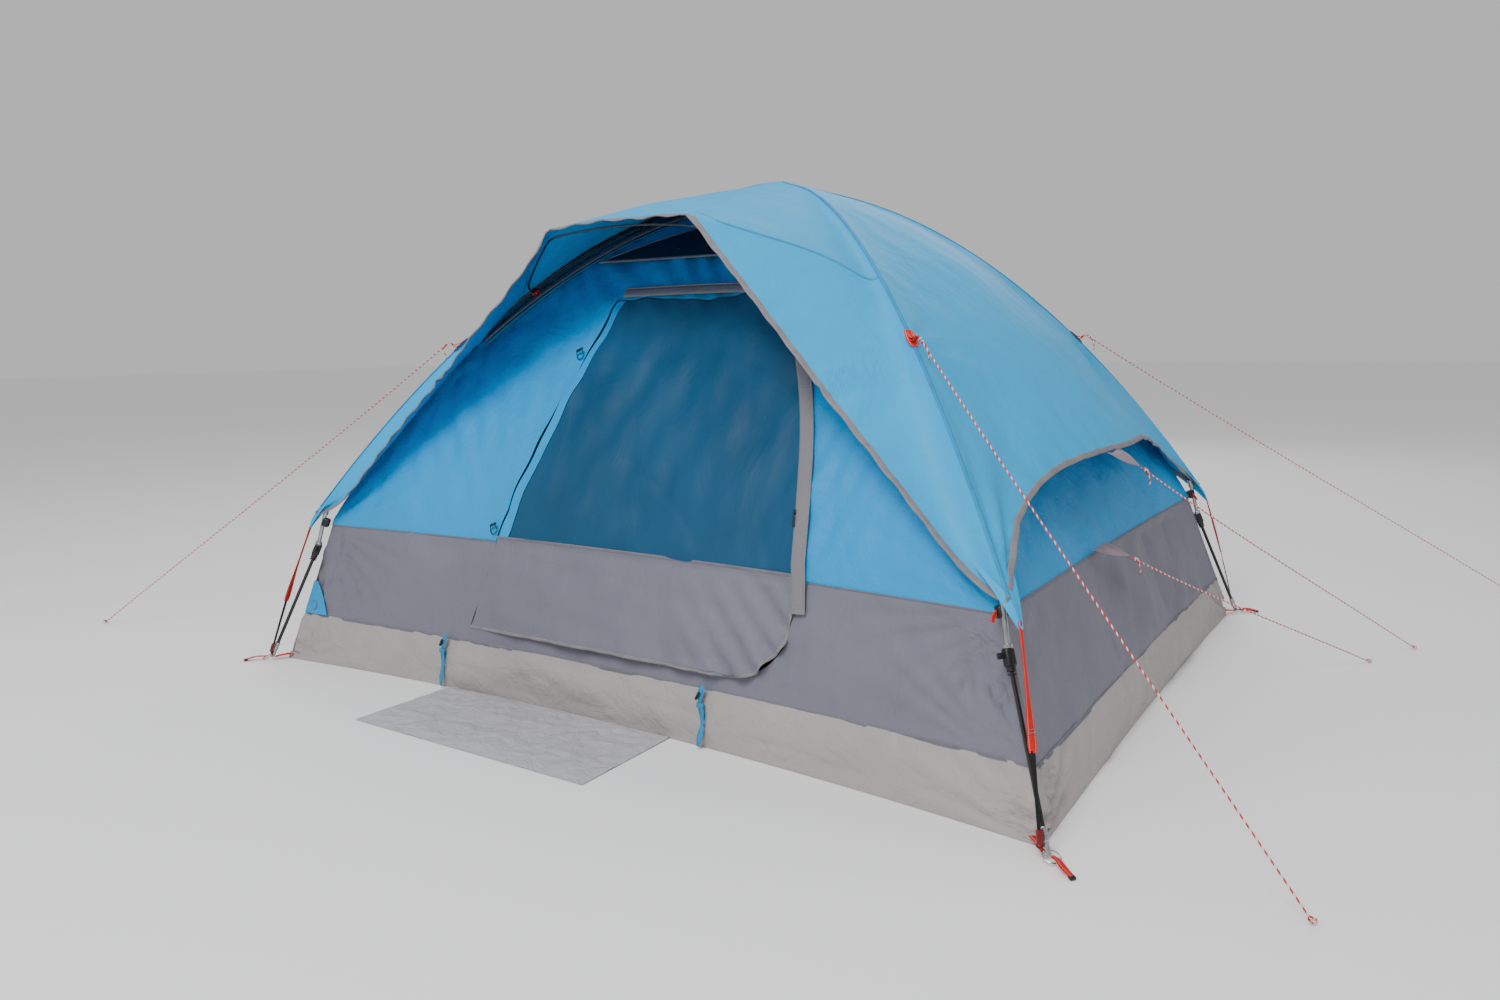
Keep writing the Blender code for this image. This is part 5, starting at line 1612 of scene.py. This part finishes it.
def make_wall_clip(corner, index, r):
    """A small clip with its tab, which hangs the inner tent from a pole."""
    centre, slope, across, under = under_pole(corner, r, 0.0095)
    web = [centre + under * (0.003 + 0.004 * s) for s in range(5)]
    parts = [placed(rounded_box((0.010, 0.008, 0.018), 0.35), centre, slope, across),
             sweep(web, slope, [0.010, 0.010, 0.012, 0.014, 0.016], 0.0018, 8)]
    piece("wall_clip_" + corner + "_" + str(index), joined(parts), M_RED_PLASTIC if index % 2 else M_PLASTIC,
          "upper_pole_" + corner, slot="webbing")


def make_brow():
    """The rod under the eave, and the clips on the poles."""
    make_rod()
    for corner in ("front_right", "front_left"):
        make_pole_clip(corner)
    for corner in CORNERS:
        for index, r in enumerate((0.42, 1.02, 1.22)):
            make_wall_clip(corner, index, r)


def beads(start, direction, offsets, half, low, high):
    """Raised rings round a leg, at distances from a point on it."""
    made = []
    for offset in offsets:
        line = [start + direction * (offset + d) for d in (-half, 0.0, half)]
        made.append(round_tube(line, [low, high, low], 20))
    return made


def make_leg_details():
    """Collars on the joints, beads on the feet, and a block with a red tab at the top of each leg."""
    for corner in CORNERS:
        out, across = diagonal(corner)
        pivot = at(corner, ELBOW_R, ELBOW_Z)
        foot = at(corner, FERRULE_TOP_R, FERRULE_TOP_Z)
        down = (foot - pivot).normalized()
        lever = pivot + down * 0.002 - across * 0.016 * STRAP_SIGN[corner]
        parts = [placed(rounded_box((0.021, 0.020, 0.036), 0.3), pivot + down * 0.006, down, across),
                 placed(rounded_box((0.016, 0.006, 0.012), 0.35), lever, down, across),
                 *beads(pivot, down, (0.026, 0.032, 0.038), 0.0012, 0.0088, 0.0096)]
        piece("leg_collars_" + corner, joined(parts), M_PLASTIC, "lower_leg_" + corner, slot="plastic")
        parts = beads(foot, down, (0.004, 0.010, 0.016), 0.0009, 0.0066, 0.0076)
        piece("foot_rings_" + corner, joined(parts), M_METAL, "lower_leg_" + corner, slot="metal")
        top = at(corner, 1.3660, 0.4250)
        axis = (pivot - top).normalized()
        block = placed(rounded_box((0.021, 0.021, 0.026), 0.3), top + axis * 0.012, axis, across)
        piece("leg_block_" + corner, joined([block]), M_PLASTIC, "upper_pole_" + corner, slot="plastic")
        tab = [top + axis * 0.012 - across * 0.010, top + axis * 0.020 - across * 0.020 + out * 0.002,
               top + axis * 0.030 - across * 0.024 + out * 0.003]
        piece("leg_tab_" + corner, sweep(tab, out, [0.012, 0.012, 0.010], 0.0020, 8), M_RED,
              "upper_pole_" + corner, slot="webbing")


def dress_cad():
    """Better materials on the CAD pieces that stay visible."""
    table = {"upper_pole": M_POLE, "lower_leg": M_POLE, "elbow_link": M_METAL, "foot_ferrule": M_METAL,
             "foot_ring": M_METAL, "hub_base": M_PLASTIC, "hub_cap": M_PLASTIC, "hub_pivot_ring": M_METAL}
    for name, node in NODES.items():
        for start, material in table.items():
            if name.startswith(start):
                node.data.materials.clear()
                node.data.materials.append(material)


# ---------------------------------------------------------------- stage

def make_camera():
    """The camera's place, turn and lens. Yaw is from +Y towards -X, and pitch is downwards."""
    yaw, pitch, roll = math.radians(33.300), math.radians(8.485), math.radians(-0.742)
    forward = Vector((-math.sin(yaw) * math.cos(pitch), math.cos(yaw) * math.cos(pitch), -math.sin(pitch)))
    right = Vector((math.cos(yaw), math.sin(yaw), 0))
    up = right.cross(forward)
    side = right * math.cos(roll) + up * math.sin(roll)
    data = bpy.data.cameras.new("camera")
    data.sensor_width = 36.0
    data.lens = 1055.02 / 1500 * 36.0
    camera = link("camera", data)
    turn = Matrix((side, side.cross(forward), -forward)).transposed().to_4x4()
    camera.matrix_world = Matrix.Translation((1.717, -2.790, 0.927)) @ turn
    bpy.context.scene.camera = camera


def make_lamp(name, place, target, size, power):
    """A square lamp that faces its target."""
    data = bpy.data.lights.new(name, "AREA")
    data.energy = power
    data.size = size
    lamp = link(name, data)
    lamp.location = place
    lamp.rotation_euler = (Vector(target) - Vector(place)).to_track_quat("-Z", "Y").to_euler()


def make_stage():
    """A light floor, an even sky and three lamps."""
    mesh = bpy.data.meshes.new("stage_floor")
    size = 40.0
    corners = [(-size, -size, 0), (size, -size, 0), (size, size, 0), (-size, size, 0)]
    mesh.from_pydata(corners, [], [(0, 1, 2, 3)])
    floor = link("stage_floor", mesh)
    g = Graph("stage_floor")
    g.set(Base_Color=(0.93, 0.93, 0.93, 1), Roughness=0.9, Specular_IOR_Level=0.1)
    mesh.materials.append(g.material)
    world = bpy.data.worlds.new("studio")
    world.use_nodes = True
    sky = world.node_tree.nodes["Background"]
    sky.inputs[0].default_value = (1.0, 1.0, 1.0, 1)
    sky.inputs[1].default_value = 0.58
    bpy.context.scene.world = world
    make_lamp("key_light", (0.9, -4.6, 4.6), (0, 0, 0.5), 2.6, 265)
    make_lamp("top_light", (-0.6, 1.4, 6.0), (0.3, 0, 0.5), 2.5, 60)
    make_lamp("back_light", (-1.5, 6.0, 3.5), (0, 0, 0.5), 3.0, 60)


make_camera()
make_guylines()
make_fly()
make_walls()
make_door()
make_wall_details()
make_tub()
make_mat()
make_mat_straps()
make_corner_straps()
make_corner_patch()
make_ridge_tabs()
make_brow()
make_leg_details()
dress_cad()
make_stage()
